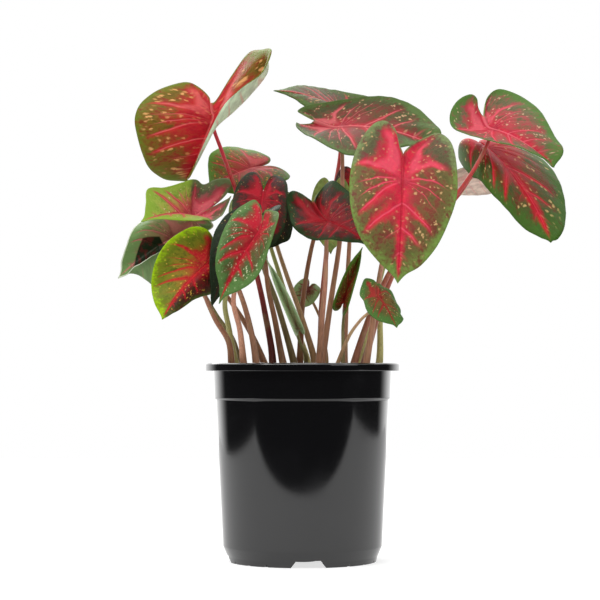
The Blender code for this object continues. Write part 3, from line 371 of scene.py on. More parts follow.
LOOKS = {
    "leaf_01": Look((104, 120, 30), (130, 58, 26), (122, 98, 26), (212, 24, 46), (236, 120, 116),
                    spot=(244, 178, 112), under=(222, 242, 204), star=(0.3, 0.06, 0.15), band=0.97,
                    spots=1.0, glow=0.6, speckle=16),
    "leaf_02": Look((136, 168, 54), (154, 176, 70), (136, 164, 58), (206, 40, 70), (228, 116, 122),
                    spot=(220, 206, 150), star=(0.26, 0.06, 0.05), band=0.9, spots=0.35, glow=0.4,
                    other=(-90, 0.06, (112, 130, 84), (150, 88, 84), (96, 84, 62))),
    "leaf_03": Look((92, 130, 44), (134, 74, 38), (92, 112, 40), (200, 44, 58), (226, 100, 100),
                    spot=(228, 146, 66), star=(0.16, 0.04, 0.07), band=0.88, spots=0.55, speckle=18,
                    glow=0.35),
    # leaf_04's own dark red and green are darkened further here as painted shade, where it lies in shadow
    "leaf_04": Look((30, 46, 20), (110, 12, 22), (50, 26, 16), (182, 10, 34), (204, 30, 52),
                    spot=(196, 156, 92), star=(0.14, 0.05, 0.09), band=0.92, spots=0.18, glow=0.35),
    "leaf_05": Look((86, 122, 62), (84, 78, 44), (68, 100, 48), (194, 10, 42), (206, 26, 54),
                    spot=(212, 216, 172), star=(0.2, 0.065, 0.16), band=0.84, spots=0.7, glow=0.15,
                    speckle=24),
    # leaf_06's left half, its other part, is a green painted brighter lime, as light shining through it from
    # behind
    "leaf_06": Look((70, 84, 26), (92, 18, 18), (54, 36, 16), (196, 14, 34), (206, 30, 46),
                    spot=(224, 178, 70), star=(0.2, 0.04, 0.08), band=0.95, spots=0.5, glow=0.3,
                    speckle=24, other=(180, 0.0, (156, 196, 8), (120, 124, 26), (104, 116, 20))),
    "leaf_07": Look((112, 142, 84), (132, 134, 88), (118, 144, 86), (182, 96, 92), (198, 130, 120),
                    spot=(190, 180, 120), under=(116, 146, 90), star=(0.16, 0.03, 0.04), band=0.7,
                    spots=0.3, hollow=((-0.76, 0.65, 0.442), (-0.89, -0.45, 0.034), (0.0, -1.0, -0.16))),
    # leaf_08 and leaf_09 have their dark green darkened to near black as painted shade, for both lie in
    # shadow behind the leaves in front of them
    "leaf_08": Look((26, 42, 22), (24, 38, 20), (30, 36, 20), (56, 18, 16), (40, 44, 26), spots=0.2),
    "leaf_09": Look((30, 44, 22), (26, 38, 20), (40, 22, 16), (96, 12, 16), (74, 34, 28), spots=0.3,
                    under=(90, 112, 64)),
    # leaf_10's own dark maroon and red are darkened further as painted shade on its shaded upper side
    "leaf_10": Look((38, 62, 30), (96, 16, 20), (52, 34, 22), (156, 10, 28), (172, 24, 38),
                    spot=(160, 110, 70), star=(0.14, 0.045, 0.08), band=0.88, spots=0.35, glow=0.4),
    "leaf_11": Look((86, 106, 48), (90, 102, 50), (78, 92, 40), (150, 60, 50), (160, 110, 80),
                    under=(160, 182, 100), spots=0.3),
    "leaf_12": Look((60, 28, 22), (140, 14, 24), (106, 16, 20), (190, 16, 32), (206, 50, 58), spots=0.3),
    "leaf_13": Look((116, 146, 66), (112, 60, 44), (106, 98, 52), (230, 32, 68), (244, 96, 118),
                    spot=(218, 174, 120), under=(170, 176, 140), star=(0.15, 0.08, 0.13), band=0.96,
                    spots=0.6, glow=0.2, speckle=24, keel=(170, 8, 38),
                    other=(-90, 0.14, (124, 142, 88), (108, 54, 50), (88, 84, 54))),
    "leaf_14": Look((74, 98, 40), (92, 50, 32), (70, 78, 34), (186, 36, 50), (222, 120, 114),
                    spot=(206, 156, 106), under=(160, 174, 130), star=(0.14, 0.04, 0.06), band=0.92,
                    spots=0.5, glow=0.18),
    "leaf_15": Look((86, 110, 56), (100, 52, 38), (74, 78, 42), (200, 38, 60), (234, 130, 132),
                    spot=(214, 170, 130), star=(0.16, 0.045, 0.06), band=0.9, spots=0.55, glow=0.18),
    "leaf_16": Look((84, 120, 52), (156, 78, 74), (108, 104, 72), (222, 32, 66), (242, 118, 130),
                    spot=(222, 184, 150), star=(0.16, 0.05, 0.09), band=0.9, spots=0.5, glow=0.35),
    "leaf_17": Look((68, 104, 34), (104, 58, 30), (76, 88, 36), (222, 18, 46), (236, 60, 80),
                    spot=(228, 192, 126), star=(0.28, 0.06, 0.14), band=0.88, spots=0.6, glow=0.25,
                    speckle=20),
    "leaf_18": Look((96, 118, 60), (150, 78, 62), (110, 106, 64), (206, 66, 72), (224, 112, 108),
                    under=(236, 212, 196), spots=0.4),
    "leaf_19": Look((150, 180, 120), (132, 140, 96), (140, 166, 108), (120, 26, 30), (156, 86, 72),
                    star=(0.3, 0.05, 0.12), band=0.66, spots=0.3),
    "leaf_20": Look((92, 132, 44), (92, 108, 40), (120, 70, 34), (176, 26, 32), (190, 80, 66),
                    spot=(206, 214, 110), star=(0.2, 0.05, 0.1), spots=0.5),
    "leaf_21": Look((80, 120, 54), (84, 110, 50), (96, 88, 48), (168, 32, 38), (188, 62, 58),
                    star=(0.12, 0.03, 0.05), band=0.76, spots=0.4),
    "leaf_22": Look((188, 212, 166), (176, 202, 152), (162, 188, 134), (180, 110, 90), (190, 160, 136),
                    under=(192, 214, 172), star=(0.08, 0.02, 0.03), spots=0.2),
    "leaf_23": Look((76, 112, 48), (118, 60, 42), (84, 96, 46), (192, 36, 52), (212, 80, 86)),
    "leaf_24": Look((76, 112, 48), (118, 60, 42), (84, 96, 46), (198, 42, 62), (216, 86, 94)),
    "leaf_25": Look((80, 116, 50), (108, 64, 40), (88, 102, 48), (188, 32, 40), (208, 74, 74)),
}

# Stalk colours near the soil and at the blade, and the leaves that have them. The others are brown.
STALK_COLOURS = {
    "brown": ((146, 100, 68), (176, 118, 90)),
    "wine": ((108, 50, 42), (230, 58, 78)),
    "pink": ((190, 138, 106), (204, 138, 116)),
    "tan": ((184, 146, 104), (202, 160, 122)),
    "red": ((168, 112, 86), (206, 62, 66)),
    "olive": ((134, 114, 72), (150, 146, 94)),
    "green": ((198, 190, 120), (160, 166, 100)),
}
STALKS = {
    "wine": ("leaf_01",),
    "pink": ("leaf_02", "leaf_05", "leaf_10", "leaf_12", "leaf_13", "leaf_15"),
    "tan": ("leaf_09", "leaf_19", "leaf_21"),
    "red": ("leaf_14", "leaf_16", "leaf_17"),
    "olive": ("leaf_03", "leaf_07", "leaf_20", "leaf_22"),
    "green": ("leaf_08", "leaf_18", "leaf_23", "leaf_24"),
}
STALK_FLECK = (176, 158, 112)


def screen(rgb, share=1):
    """A colour in linear light from a screen's scale of 0 to 255, times a share of its levels."""
    levels = [level * share / 255 for level in rgb]
    return (*(level / 12.92 if level <= 0.04045 else ((level + 0.055) / 1.055) ** 2.4 for level in levels), 1)


class Wire:
    """An output of a node. Python's operators on it add the Math nodes that work the sum out."""

    def __init__(self, paint, socket):
        self.paint = paint
        self.socket = socket

    def maths(self, operation, *values):
        return self.paint.node("Math", {"operation": operation}, dict(enumerate(values)))

    def __add__(self, other):
        return self.maths("ADD", self, other)

    def __radd__(self, other):
        return self.maths("ADD", other, self)

    def __sub__(self, other):
        return self.maths("SUBTRACT", self, other)

    def __rsub__(self, other):
        return self.maths("SUBTRACT", other, self)

    def __mul__(self, other):
        return self.maths("MULTIPLY", self, other)

    def __rmul__(self, other):
        return self.maths("MULTIPLY", other, self)

    def __truediv__(self, other):
        return self.maths("DIVIDE", self, other)

    def __pow__(self, power):
        return self.maths("POWER", self, power)

    def __abs__(self):
        return self.maths("ABSOLUTE", self)

    def most(self, other):
        return self.maths("MAXIMUM", self, other)

    def above(self, level):
        return self.maths("GREATER_THAN", self, level)

    def rises(self, low, high):
        """0 below low, 1 above high and smooth between."""
        return self.paint.node("MapRange", {"interpolation_type": "SMOOTHSTEP"},
                               {"Value": self, "From Min": low, "From Max": high})

    def falls(self, low, high):
        """1 below low, 0 above high and smooth between."""
        return 1 - self.rises(low, high)


class Paint:
    """The nodes of a material or of the world, and the shader that they feed."""

    def __init__(self, owner, shader="Principled BSDF", **sockets):
        self.owner = owner
        owner.use_nodes = True
        self.tree = owner.node_tree
        self.shader = self.tree.nodes[shader]
        self.shade(sockets)

    def feed(self, socket, value):
        if isinstance(value, Wire):
            self.tree.links.new(value.socket, socket)
        else:
            socket.default_value = value

    def node(self, kind, settings=None, inputs=None, output=0):
        made = self.tree.nodes.new("ShaderNode" + kind)
        for setting, value in (settings or {}).items():
            setattr(made, setting, value)
        for socket, value in (inputs or {}).items():
            self.feed(made.inputs[socket], value)
        return Wire(self, made.outputs[output])

    def shade(self, sockets):
        for name, value in sockets.items():
            self.feed(self.shader.inputs[name.replace("_", " ")], value)

    def coat(self, tone, roughness, height, strength, depth):
        """Feeds the shader a colour, a roughness and a relief, and gives back the material."""
        relief = self.node("Bump", inputs={"Height": height, "Strength": strength, "Distance": depth})
        self.shade({"Base Color": tone, "Roughness": roughness, "Normal": relief})
        return self.owner

    def blend(self, share, first, second, way="MIX"):
        settings = {"data_type": "RGBA", "blend_type": way}
        return self.node("Mix", settings, {0: share, 6: first, 7: second}, output=2)

    def split(self, vector):
        return [self.node("SeparateXYZ", inputs={0: vector}, output=axis) for axis in "XYZ"]

    def join(self, x, y, z=0.0):
        return self.node("CombineXYZ", inputs={0: x, 1: y, 2: z})

    def map(self, name):
        """The two coordinates of one of the piece's flat maps."""
        return self.split(self.node("UVMap", {"uv_map": name}))[:2]

    def place(self):
        """The place in the object, in metres."""
        return self.node("TexCoord", output="Object")

    def noise(self, vector, scale, detail=3.0):
        return self.node("TexNoise", inputs={"Vector": vector, "Scale": scale, "Detail": detail})

    def cells(self, vector, scale, feature="F1", output=0):
        return self.node("TexVoronoi", {"feature": feature}, {"Vector": vector, "Scale": scale}, output)


def finish(name, **sockets):
    return Paint(bpy.data.materials.new(name), **sockets)


def veins(paint, x, y):
    """For a point of the flat blade: 1 in front of the joint's side veins and 0 in the fan behind them, how
    far it is from the nearest vein and from the joint, and a number from 0 to 1 that differs from vein to
    vein."""
    wobble = paint.noise(paint.join(x, y), 5.0, 1.0) - 0.5
    side = abs(x)
    ahead = y + wobble * VEIN_WANDER - side * (VEIN_SLANT + VEIN_BEND * side)
    front = ahead.above(0.0)
    away = (x * x + y * y + 0.0001) ** 0.5
    spacing = front * VEIN_SPACING + (1 - front) * away * VEIN_FAN
    count = ahead / spacing
    nearest = count.maths("ROUND", count)
    chance = paint.node("TexWhiteNoise", {"noise_dimensions": "2D"},
                        {"Vector": paint.join(nearest, x.above(0.0))})
    return front, abs(count - nearest) * spacing * 0.85, away, chance


def upper_side(name, look):
    paint = finish(name + " upper side", IOR=LEAF_IOR, Specular_IOR_Level=UPPER_GLOSS)
    x, y = paint.map("leaf")
    edge = paint.map("ring")[1]
    flat = paint.join(x, y)
    front, gap, away, chance = veins(paint, x, y)
    coarse = paint.noise(flat, COARSE, 4.0)
    fine = paint.noise(flat, FINE)
    core, feather, rib = look.star

    # the mottled ground, tinted red towards the joint, and the plain margin
    mottle = (coarse * 0.6 + fine * 0.4 + (edge - 0.6) * 0.16).rises(0.43, 0.57)
    ground = paint.blend(mottle, screen(look.ground), screen(look.patch))
    margin = screen(look.margin)
    if look.other:
        turn, start, other_margin, other_ground, other_patch = look.other
        turn = math.radians(turn)
        beyond = x * math.cos(turn) + y * math.sin(turn) + (coarse - 0.5) * 0.12
        other = beyond.rises(start - 0.04, start + 0.04)
        ground = paint.blend(other, ground, paint.blend(mottle, screen(other_ground), screen(other_patch)))
        margin = paint.blend(other, margin, screen(other_margin))
    warm = (edge + (coarse - 0.5) * 0.8).falls(0.2, 0.85)
    ground = paint.blend(warm * look.glow, ground, screen(look.red))
    dark = (fine * 0.5 + coarse * 0.5).rises(0.5, 0.62)
    ground = paint.blend(dark * 0.4, ground, screen(look.ground, 0.45))
    band = (edge + (coarse - 0.5) * 0.4 + (fine - 0.5) * 0.3).rises(look.band - 0.12, look.band + 0.08)

    # the red star: feathers along the side veins, a spine along the midrib and a centre at the joint
    ragged = (fine - 0.5) * 0.6 + (coarse - 0.5) * 0.9
    breadth = (chance * 2.4 - 0.5).most(0.02) * (0.35 + 0.65 * front)
    feathers = (gap / ((1 - edge) ** 0.6 * feather * breadth + 0.004) + ragged).falls(0.1, 1.25)
    feathers = feathers * edge.falls(0.4 + 0.4 * chance, 0.78 + 0.22 * chance)
    spine = (abs(x) / ((1 - y) * rib + 0.008) + ragged).falls(0.2, 1.2)
    spread = away / core + ragged
    star = feathers.most(spine).most(spread.falls(0.35, 1.35)) * edge.falls(0.86, 0.99)
    heart = spread.falls(0.1, 1.0)

    # specks, the lines of the veins and the net between them
    speck_place = paint.join(x + (fine - 0.5) * 0.06, y + (coarse - 0.5) * 0.08)
    size = paint.noise(flat, 14.0, 1.0) * 0.32
    speck = paint.cells(speck_place, look.speckle).falls(0.06 + size * 0.5, 0.22 + size)
    chance_of_speck = paint.split(paint.cells(speck_place, look.speckle, output="Color"))[0]
    chosen = chance_of_speck.falls(look.spots - 0.1, look.spots)
    specks = speck * chosen * edge.falls(0.86, 0.97) * (1 - star * 0.75)
    line = gap.falls(0.003, 0.016) * edge.falls(0.7, 0.95) * (0.12 + 0.88 * feathers) * (1 - heart * 0.8)
    middle = (abs(x) / (1.1 - y)).falls(0.005, 0.018) * y.falls(0.8, 1.0)
    net = paint.cells(flat, UPPER_NET, "DISTANCE_TO_EDGE").falls(0.0, 0.06)

    red = paint.blend(coarse.rises(0.35, 0.65), screen(look.red, 0.84), screen(look.red))
    red = paint.blend(heart * 0.8, red, screen(look.red, 0.76))
    tone = paint.blend(band, ground, margin)
    tone = paint.blend(star * 0.94, tone, red)
    tone = paint.blend(specks * 0.85, tone, screen(look.spot))
    tone = paint.blend(line * 0.5, tone, screen(look.line))
    tone = paint.blend(middle * 0.65, tone, screen(look.keel or look.line))
    tone = paint.blend(net * 0.08, tone, margin)
    if look.hollow:
        sides = [x * across + y * along - off for across, along, off in look.hollow]
        outside = sides[0].most(sides[1]).most(sides[2])
        deep = paint.blend(coarse.rises(0.48, 0.6), screen(HOLLOW_DARK), screen(HOLLOW_WARM))
        tone = paint.blend(outside.falls(-0.015, 0.01), tone, deep)
        tone = paint.blend(edge.rises(0.965, 0.98), tone, screen(HOLLOW_RIM))
    shade = 0.86 + 0.28 * fine
    tone = paint.blend(1.0, tone, paint.join(shade, shade, shade), "MULTIPLY")
    height = fine * 0.4 - line * 0.8 - middle * 1.2 - net * 0.25
    return paint.coat(tone, 0.42 + 0.16 * coarse, height, 0.5, RELIEF)


def under_side(name, look):
    paint = finish(name + " under side", IOR=LEAF_IOR, Specular_IOR_Level=UNDER_GLOSS)
    x, y = paint.map("leaf")
    edge = paint.map("ring")[1]
    flat = paint.join(x, y)
    gap, away = veins(paint, x, y)[1:3]
    coarse = paint.noise(flat, COARSE)
    net = paint.cells(flat, UNDER_NET, "DISTANCE_TO_EDGE").falls(0.0, 0.07)
    line = gap.falls(0.004, 0.016) * edge.falls(0.85, 0.99)
    deep = screen(look.under, 0.82)
    pink = screen([(level + red) / 2 for level, red in zip(look.under, look.red)])
    tone = paint.blend(coarse.rises(0.35, 0.65), screen(look.under), deep)
    tone = paint.blend(away.falls(0.1, 0.8) * coarse * 0.3, tone, pink)
    tone = paint.blend(line * 0.5, tone, pink)
    tone = paint.blend(net * 0.14, tone, deep)
    return paint.coat(tone, 0.52 + 0.1 * coarse, line + net * 0.4, 0.4, RELIEF)


def stalk_skin(name, low, high):
    paint = finish("stalk " + name, IOR=1.42)
    run = paint.map("run")[1]
    x, y, z = paint.split(paint.place())
    streak = paint.noise(paint.join(x, y, z * 0.06), 1400.0, 2.0)
    blotch = paint.noise(paint.join(x, y, z * 0.4), 160.0, 2.0)
    tone = paint.blend(run.rises(0.1, 0.95), screen(low), screen(high))
    tone = paint.blend(streak.rises(0.42, 0.66) * 0.45, tone, screen(low, 0.66))
    tone = paint.blend(blotch.rises(0.52, 0.74) * 0.4, tone, screen(STALK_FLECK))
    return paint.coat(tone, 0.36 + 0.16 * blotch, streak, 0.3, 0.4 * MM)


def pot_plastic():
    """Glossy black plastic with a little dust and fine scuffs round it."""
    paint = finish("pot plastic", IOR=1.65)
    place = paint.place()
    x, y, z = paint.split(place)
    grain = paint.noise(place, 2600.0, 2.0)
    haze = paint.noise(place, 22.0, 4.0)
    scuff = paint.noise(paint.join(x * 40, y * 40, z * 700), 1.0, 2.0)
    dust = haze.rises(0.48, 0.75) * (0.5 + 0.5 * scuff)
    tone = paint.blend(dust * 0.3, screen((9, 9, 11)), screen((30, 30, 32)))
    return paint.coat(tone, 0.06 + 0.05 * dust + 0.02 * grain, grain + scuff * 0.5, 0.03, 0.1 * MM)


def soil_crust():
    paint = finish("soil", IOR=1.4)
    place = paint.place()
    crumb = paint.noise(place, 420.0, 5.0)
    clod = paint.noise(place, 90.0)
    tone = paint.blend(crumb.rises(0.35, 0.7), screen((28, 19, 14)), screen((84, 60, 42)))
    tone = paint.blend(clod.rises(0.55, 0.75) * 0.6, tone, screen((50, 34, 24)))
    return paint.coat(tone, 0.82 + 0.14 * crumb, crumb, 0.8, 1 * MM)


def bark():
    paint = finish("bark chips", IOR=1.4)
    place = paint.place()
    kind = paint.noise(place, 120.0, 1.0)
    grain = paint.noise(place, 900.0)
    tone = paint.blend(kind.rises(0.4, 0.6), screen((48, 32, 22)), screen((118, 82, 54)))
    tone = paint.blend(grain.rises(0.45, 0.7) * 0.5, tone, screen((30, 20, 15)))
    return paint.coat(tone, 0.75 + 0.15 * grain, grain, 0.6, 0.6 * MM)


def perlite():
    paint = finish("perlite", IOR=1.45)
    pores = paint.cells(paint.place(), 1500.0)
    tone = paint.blend(pores.rises(0.1, 0.6), screen((188, 184, 172)), screen((232, 230, 222)))
    return paint.coat(tone, 0.8 + 0.1 * pores, pores, 0.5, 0.4 * MM)


def tuber_skin():
    paint = finish("tuber skin", IOR=1.4)
    x, y, z = paint.split(paint.place())
    rings = paint.noise(paint.join(x * 60, y * 60, z * 900), 1.0)
    tone = paint.blend(rings.rises(0.35, 0.7), screen((70, 46, 30)), screen((132, 96, 64)))
    return paint.coat(tone, 0.75 + 0.15 * rings, rings, 0.6, 1 * MM)


def link(thing):
    bpy.context.scene.collection.objects.link(thing)
    return thing


def add_piece(name, points, faces, materials, smooth=True):
    mesh = bpy.data.meshes.new(name)
    mesh.from_pydata([tuple(point) for point in points], [], faces)
    mesh.validate()
    if smooth:
        mesh.shade_smooth()
    for material in materials:
        mesh.materials.append(material)
    return link(bpy.data.objects.new(name, mesh))


def face_outwards(piece):
    body = bmesh.new()
    body.from_mesh(piece.data)
    bmesh.ops.recalc_face_normals(body, faces=body.faces)
    body.to_mesh(piece.data)
    body.free()
    return piece


def keep(piece, slot, *nodes):
    """Fixes a piece to the body and lets it stand for the solids that it is a finer form of. Its slot is not
    used.
    """
    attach(piece, "root")
    if nodes:
        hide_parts(*nodes)
    return piece


def walls(near, far):
    """The faces between two closed rings of point numbers. A ring of one point makes a fan."""
    count = max(len(near), len(far))
    faces = []
    for step in range(count):
        after = (step + 1) % count
        places = (near, step), (near, after), (far, after), (far, step)
        faces.append(list(dict.fromkeys(ring[place % len(ring)] for ring, place in places)))
    return faces


def bend(length, start, turn_per_length):
    """Where a strip ends, along and up, that leaves at an angle and turns evenly along its length."""
    if abs(turn_per_length) < 1e-6:
        return length * math.cos(start), length * math.sin(start)
    end = start + turn_per_length * length
    return ((math.sin(end) - math.sin(start)) / turn_per_length,
            (math.cos(start) - math.cos(end)) / turn_per_length)


def smooth_step(here, there, leave, arrive, share):
    """A point of the smooth curve from here to there, given its directions at both ends."""
    square, cube = share ** 2, share ** 3
    return (here * (2 * cube - 3 * square + 1) + leave * (cube - 2 * square + share)
            + there * (3 * square - 2 * cube) + arrive * (cube - square))


def through(before, here, there, beyond, share, spans=(1, 1, 1)):
    """A smooth curve from here to there through four values, given how far apart they stand."""
    leave = (there - before) * (spans[1] / (spans[0] + spans[1]))
    arrive = (beyond - here) * (spans[1] / (spans[1] + spans[2]))
    return smooth_step(here, there, leave, arrive, share)


OUTLINE = [Vector(point) for point in BLADE_OUTLINE]
OUTLINE = [2 * OUTLINE[0] - OUTLINE[1]] + OUTLINE + [2 * OUTLINE[-1] - OUTLINE[-2]]


def flat_margin(station):
    """A point of the flat blade's margin as shares of its length, across and along."""
    station %= STATIONS
    side = 1 if station <= STATIONS / 2 else -1
    place = station if side > 0 else STATIONS - station
    low = min(int(place), len(BLADE_OUTLINE) - 2)
    point = through(*OUTLINE[low:low + 4], place - low)
    return side * max(point.x, 0), point.y


def move_at(moves, station):
    """The move at a station, smooth through the stations that have one. Rows are station, x, y and z."""
    if not moves:
        return Vector((0, 0, 0))
    station %= STATIONS
    after = next((index for index, row in enumerate(moves) if row[0] > station), 0)
    rows = [moves[(after + step) % len(moves)] for step in (-2, -1, 0, 1)]
    spans = [((there[0] - here[0]) % STATIONS) or STATIONS for here, there in zip(rows, rows[1:])]
    share = ((station - rows[1][0]) % STATIONS) / spans[1]
    return through(*(Vector(row[1:]) for row in rows), share, spans) * MM


class Blade:
    """The curved surface of a leaf's blade, as a function of a point on the flat blade."""

    def __init__(self, leaf):
        self.leaf = leaf
        self.joint = Vector(leaf.joint) * MM
        chord = Vector(leaf.tip) * MM - self.joint
        self.droop = math.radians(leaf.droop)
        half = self.droop / 2
        self.length = chord.length * (half / math.sin(half) if abs(half) > 1e-6 else 1)
        self.along = chord.normalized()
        face = Vector(leaf.face)
        self.face = (face - face.dot(self.along) * self.along).normalized()
        self.across = self.face.cross(self.along)
        self.under = self.face * math.cos(half) - self.along * math.sin(half)

    def point(self, station, edge):
        """station runs round the margin from 0 at the tip, edge from 0 at the joint to 1 at the margin."""
        leaf = self.leaf
        x, y = flat_margin(station)
        across, along = x * edge, y * edge * (leaf.lobes if y < 0 else 1)
        right = across > 0
        start = self.droop / 2
        nod = math.radians(leaf.nod) / (LOBE_LENGTH * leaf.lobes)
        turn = self.droop if along >= 0 else nod
        forward, lift = bend(along * self.length, start, -turn / self.length)
        tilt = start - turn * along
        up = self.face * math.cos(tilt) - self.along * math.sin(tilt)
        half_width = HALF_WIDTH * leaf.width * self.length
        out, rise = bend(abs(across) * leaf.width * self.length, math.radians(leaf.fold[right]),
                         math.radians(leaf.curl[right]) / half_width)
        rise *= across ** 2 / (across ** 2 + FOLD_ROUNDING ** 2)
        rise += WAVE_HEIGHT * edge ** 3 * math.sin(WAVES * 2 * math.pi * station / STATIONS)
        rise += QUILT * swelling(x * edge, y * edge) * min(1, self.length / QUILT_LENGTH)
        place = self.joint + self.along * forward + self.face * lift
        place += self.across * (out if right else -out) + up * rise
        crest = max(0, 1 - ((edge - CREST_EDGE) / (1 - CREST_EDGE)) ** 2) ** 2
        return place + move_at(leaf.moves, station) * edge ** 2 + move_at(leaf.crests, station) * crest


def swelling(x, y):
    """How far the blade swells between its side veins, from 0 on a vein to 1 midway between two."""
    side = abs(x)
    ahead = y - side * (VEIN_SLANT + VEIN_BEND * side)
    away = math.hypot(x, y)
    spacing = VEIN_SPACING if ahead > 0 else max(VEIN_FAN * away, 0.001)
    fade = min(1, side / 0.06) * min(1, away / 0.15) * max(0, 1 - away ** 4)
    return fade * math.sin(math.pi * ahead / spacing) ** 2


def map_points(piece, name, values):
    """Gives the piece a flat map from a pair of numbers for each of its points."""
    layer = piece.data.uv_layers.new(name=name)
    for loop in piece.data.loops:
        layer.data[loop.index].uv = values[loop.vertex_index]


def make_blade(leaf):
    """Rings of points round the stalk's joint, with maps of the flat blade, then a thickness."""
    blade = Blade(leaf)
    points, flat, edges = [blade.point(0, 0)], [(0, 0)], [(0, 0)]
    for ring in range(1, BLADE_RINGS + 1):
        edge = (ring / BLADE_RINGS) ** RING_CROWDING
        for step in range(BLADE_TURNS):
            station = step * STATIONS / BLADE_TURNS
            x, y = flat_margin(station)
            points.append(blade.point(station, edge))
            flat.append((x * edge, y * edge))
            edges.append((0, edge))
    faces = []
    for step in range(BLADE_TURNS):
        after = (step + 1) % BLADE_TURNS
        faces.append([0, 1 + step, 1 + after])
        for ring in range(1, BLADE_RINGS):
            near, far = 1 + (ring - 1) * BLADE_TURNS, 1 + ring * BLADE_TURNS
            faces.append([near + step, far + step, far + after, near + after])
    first = [Vector(points[corner]) for corner in faces[0]]
    if (first[1] - first[0]).cross(first[2] - first[0]).dot(blade.face) < 0:
        faces = [face[::-1] for face in faces]
    look = LOOKS[leaf.name]
    sides = [upper_side(leaf.name, look), under_side(leaf.name, look)]
    piece = add_piece(leaf.name + "_fine_blade", points, faces, sides)
    map_points(piece, "leaf", flat)
    map_points(piece, "ring", edges)
    skin = piece.modifiers.new("thickness", "SOLIDIFY")
    skin.thickness = BLADE_THICKNESS
    skin.offset = 0
    skin.use_rim = True
    skin.material_offset = 1
    skin.material_offset_rim = 0
    return keep(piece, "blade", leaf.name + "_blade")


def tuber_surface(spot, x, y):
    """The height of a tuber's upper side."""
    away = min(0.98, math.hypot(x - spot[0], y - spot[1]) / TUBER_RADIUS)
    return TUBER_TOP - TUBER_HEIGHT / 2 * (1 - math.sqrt(1 - away * away))


def stalk_path(leaf, blade):
    """Points of a stalk from its tuber to its blade: straight in the soil, then a smooth curve, and under the
    blade along its midrib."""
    above = [Vector(point) * MM for point in reversed(leaf.stalk)]
    leaving = above[0]
    spot = min(TUBER_SPOTS, key=lambda place: math.hypot(leaving.x - place[0], leaving.y - place[1]))
    x = spot[0] + ROOT_INWARD * (leaving.x - spot[0])
    y = spot[1] + ROOT_INWARD * (leaving.y - spot[1])
    root = Vector((x, y, tuber_surface(spot, x, y)))
    anchors = [root] + above + [blade.joint - blade.under * BLADE_THICKNESS / 2]
    path = [root]
    for index in range(1, len(anchors) - 1):
        before, here, there = anchors[index - 1], anchors[index], anchors[index + 1]
        if index + 2 < len(anchors):
            beyond = anchors[index + 2]
        else:
            beyond = there + (blade.under + (there - here).normalized()) * END_REACH
        reach = (there - here).length
        leave = (there - before).normalized() * reach
        arrive = (beyond - here).normalized() * reach
        for step in range(STALK_STEPS):
            path.append(smooth_step(here, there, leave, arrive, step / STALK_STEPS))
    path.append(anchors[-1])
    return path


def make_stalk(leaf, skin):
    blade = Blade(leaf)
    path = stalk_path(leaf, blade)
    lengths = [0]
    for here, there in zip(path, path[1:]):
        lengths.append(lengths[-1] + (there - here).length)
    whole = lengths[-1]
    base, top = leaf.thick
    points, rings, runs = [], [], []
    side = Vector((1, 0, 0))
    for index, (place, length) in enumerate(zip(path, lengths)):
        radius = (base + (top - base) * (length / whole) ** STALK_TAPER) * MM
        radius += SHEATH * math.exp(-max(0, place.z - SOIL_EDGE) / SHEATH_HEIGHT) * (base / STALK_WIDTHS[0])
        radius += FLARE * math.exp(-(whole - length) / FLARE_HEIGHT)
        way = (path[min(index + 1, len(path) - 1)] - path[max(index - 1, 0)]).normalized()
        if index == len(path) - 1:
            way = blade.under
        side = (side - side.dot(way) * way).normalized()
        other = way.cross(side)
        rings.append(list(range(len(points), len(points) + STALK_SIDES)))
        for step in range(STALK_SIDES):
            turn = 2 * math.pi * step / STALK_SIDES
            flute = 1 + FLUTE_DEPTH * math.cos(FLUTES * turn + index * FLUTE_TWIST)
            points.append(place + (side * math.cos(turn) + other * math.sin(turn)) * radius * flute)
            runs.append((0, length / whole))
    faces = [rings[0], rings[-1]]
    for low, high in zip(rings, rings[1:]):
        faces += walls(low, high)
    piece = face_outwards(add_piece(leaf.name + "_fine_stalk", points, faces, [skin]))
    map_points(piece, "run", runs)
    return keep(piece, "stalk", leaf.name + "_stalk")


def cut(target, cutters, name):
    """Takes the cutters away from the target in one Boolean, then removes them."""
    group = bpy.data.collections.new(name)
    bpy.context.scene.collection.children.link(group)
    for cutter in cutters:
        bpy.context.scene.collection.objects.unlink(cutter)
        group.objects.link(cutter)
    cutting = target.modifiers.new(name, "BOOLEAN")
    cutting.operation = "DIFFERENCE"
    cutting.operand_type = "COLLECTION"
    cutting.collection = group
    cutting.solver = "EXACT"
    bpy.context.view_layer.update()
    graph = bpy.context.evaluated_depsgraph_get()
    done = bpy.data.meshes.new_from_object(target.evaluated_get(graph))
    target.modifiers.clear()
    target.data = done
    for cutter in cutters:
        bpy.data.objects.remove(cutter, do_unlink=True)
    bpy.data.collections.remove(group)


def turned(name, profile, segments, material):
    """A closed solid turned round Z from a profile of radius and height, whose ends lie on the axis."""
    points = []
    rings = []
    for radius, height in profile:
        turns = [2 * math.pi * step / segments for step in range(segments if radius else 1)]
        rings.append(list(range(len(points), len(points) + len(turns))))
        points += [(radius * math.cos(turn), radius * math.sin(turn), height) for turn in turns]
    faces = []
    for low, high in zip(rings, rings[1:]):
        faces += walls(low, high)
    return face_outwards(add_piece(name, points, faces, [material]))


def rounded(profile, radius):
    """The profile with each of its inner corners rounded, and with points near the ends of its long sides."""
    done = [profile[0]]
    for before, corner, after in zip(profile, profile[1:], profile[2:]):
        here = Vector(corner)
        ways = [Vector(place) - here for place in (before, after)]
        start, end = (here + way.normalized() * min(radius, way.length * 0.45) for way in ways)
        for share in (0, 0.33, 0.67, 1):
            point = start * (1 - share) ** 2 + here * 2 * share * (1 - share) + end * share ** 2
            done.append((point.x, point.y))
    done.append(profile[-1])
    spaced = [done[0]]
    for start, end in zip(done, done[1:]):
        run = Vector(end) - Vector(start)
        if run.length > 10 * SUPPORT:
            for share in (SUPPORT / run.length, 1 - SUPPORT / run.length):
                spaced.append(tuple(Vector(start) + run * share))
        spaced.append(end)
    return spaced


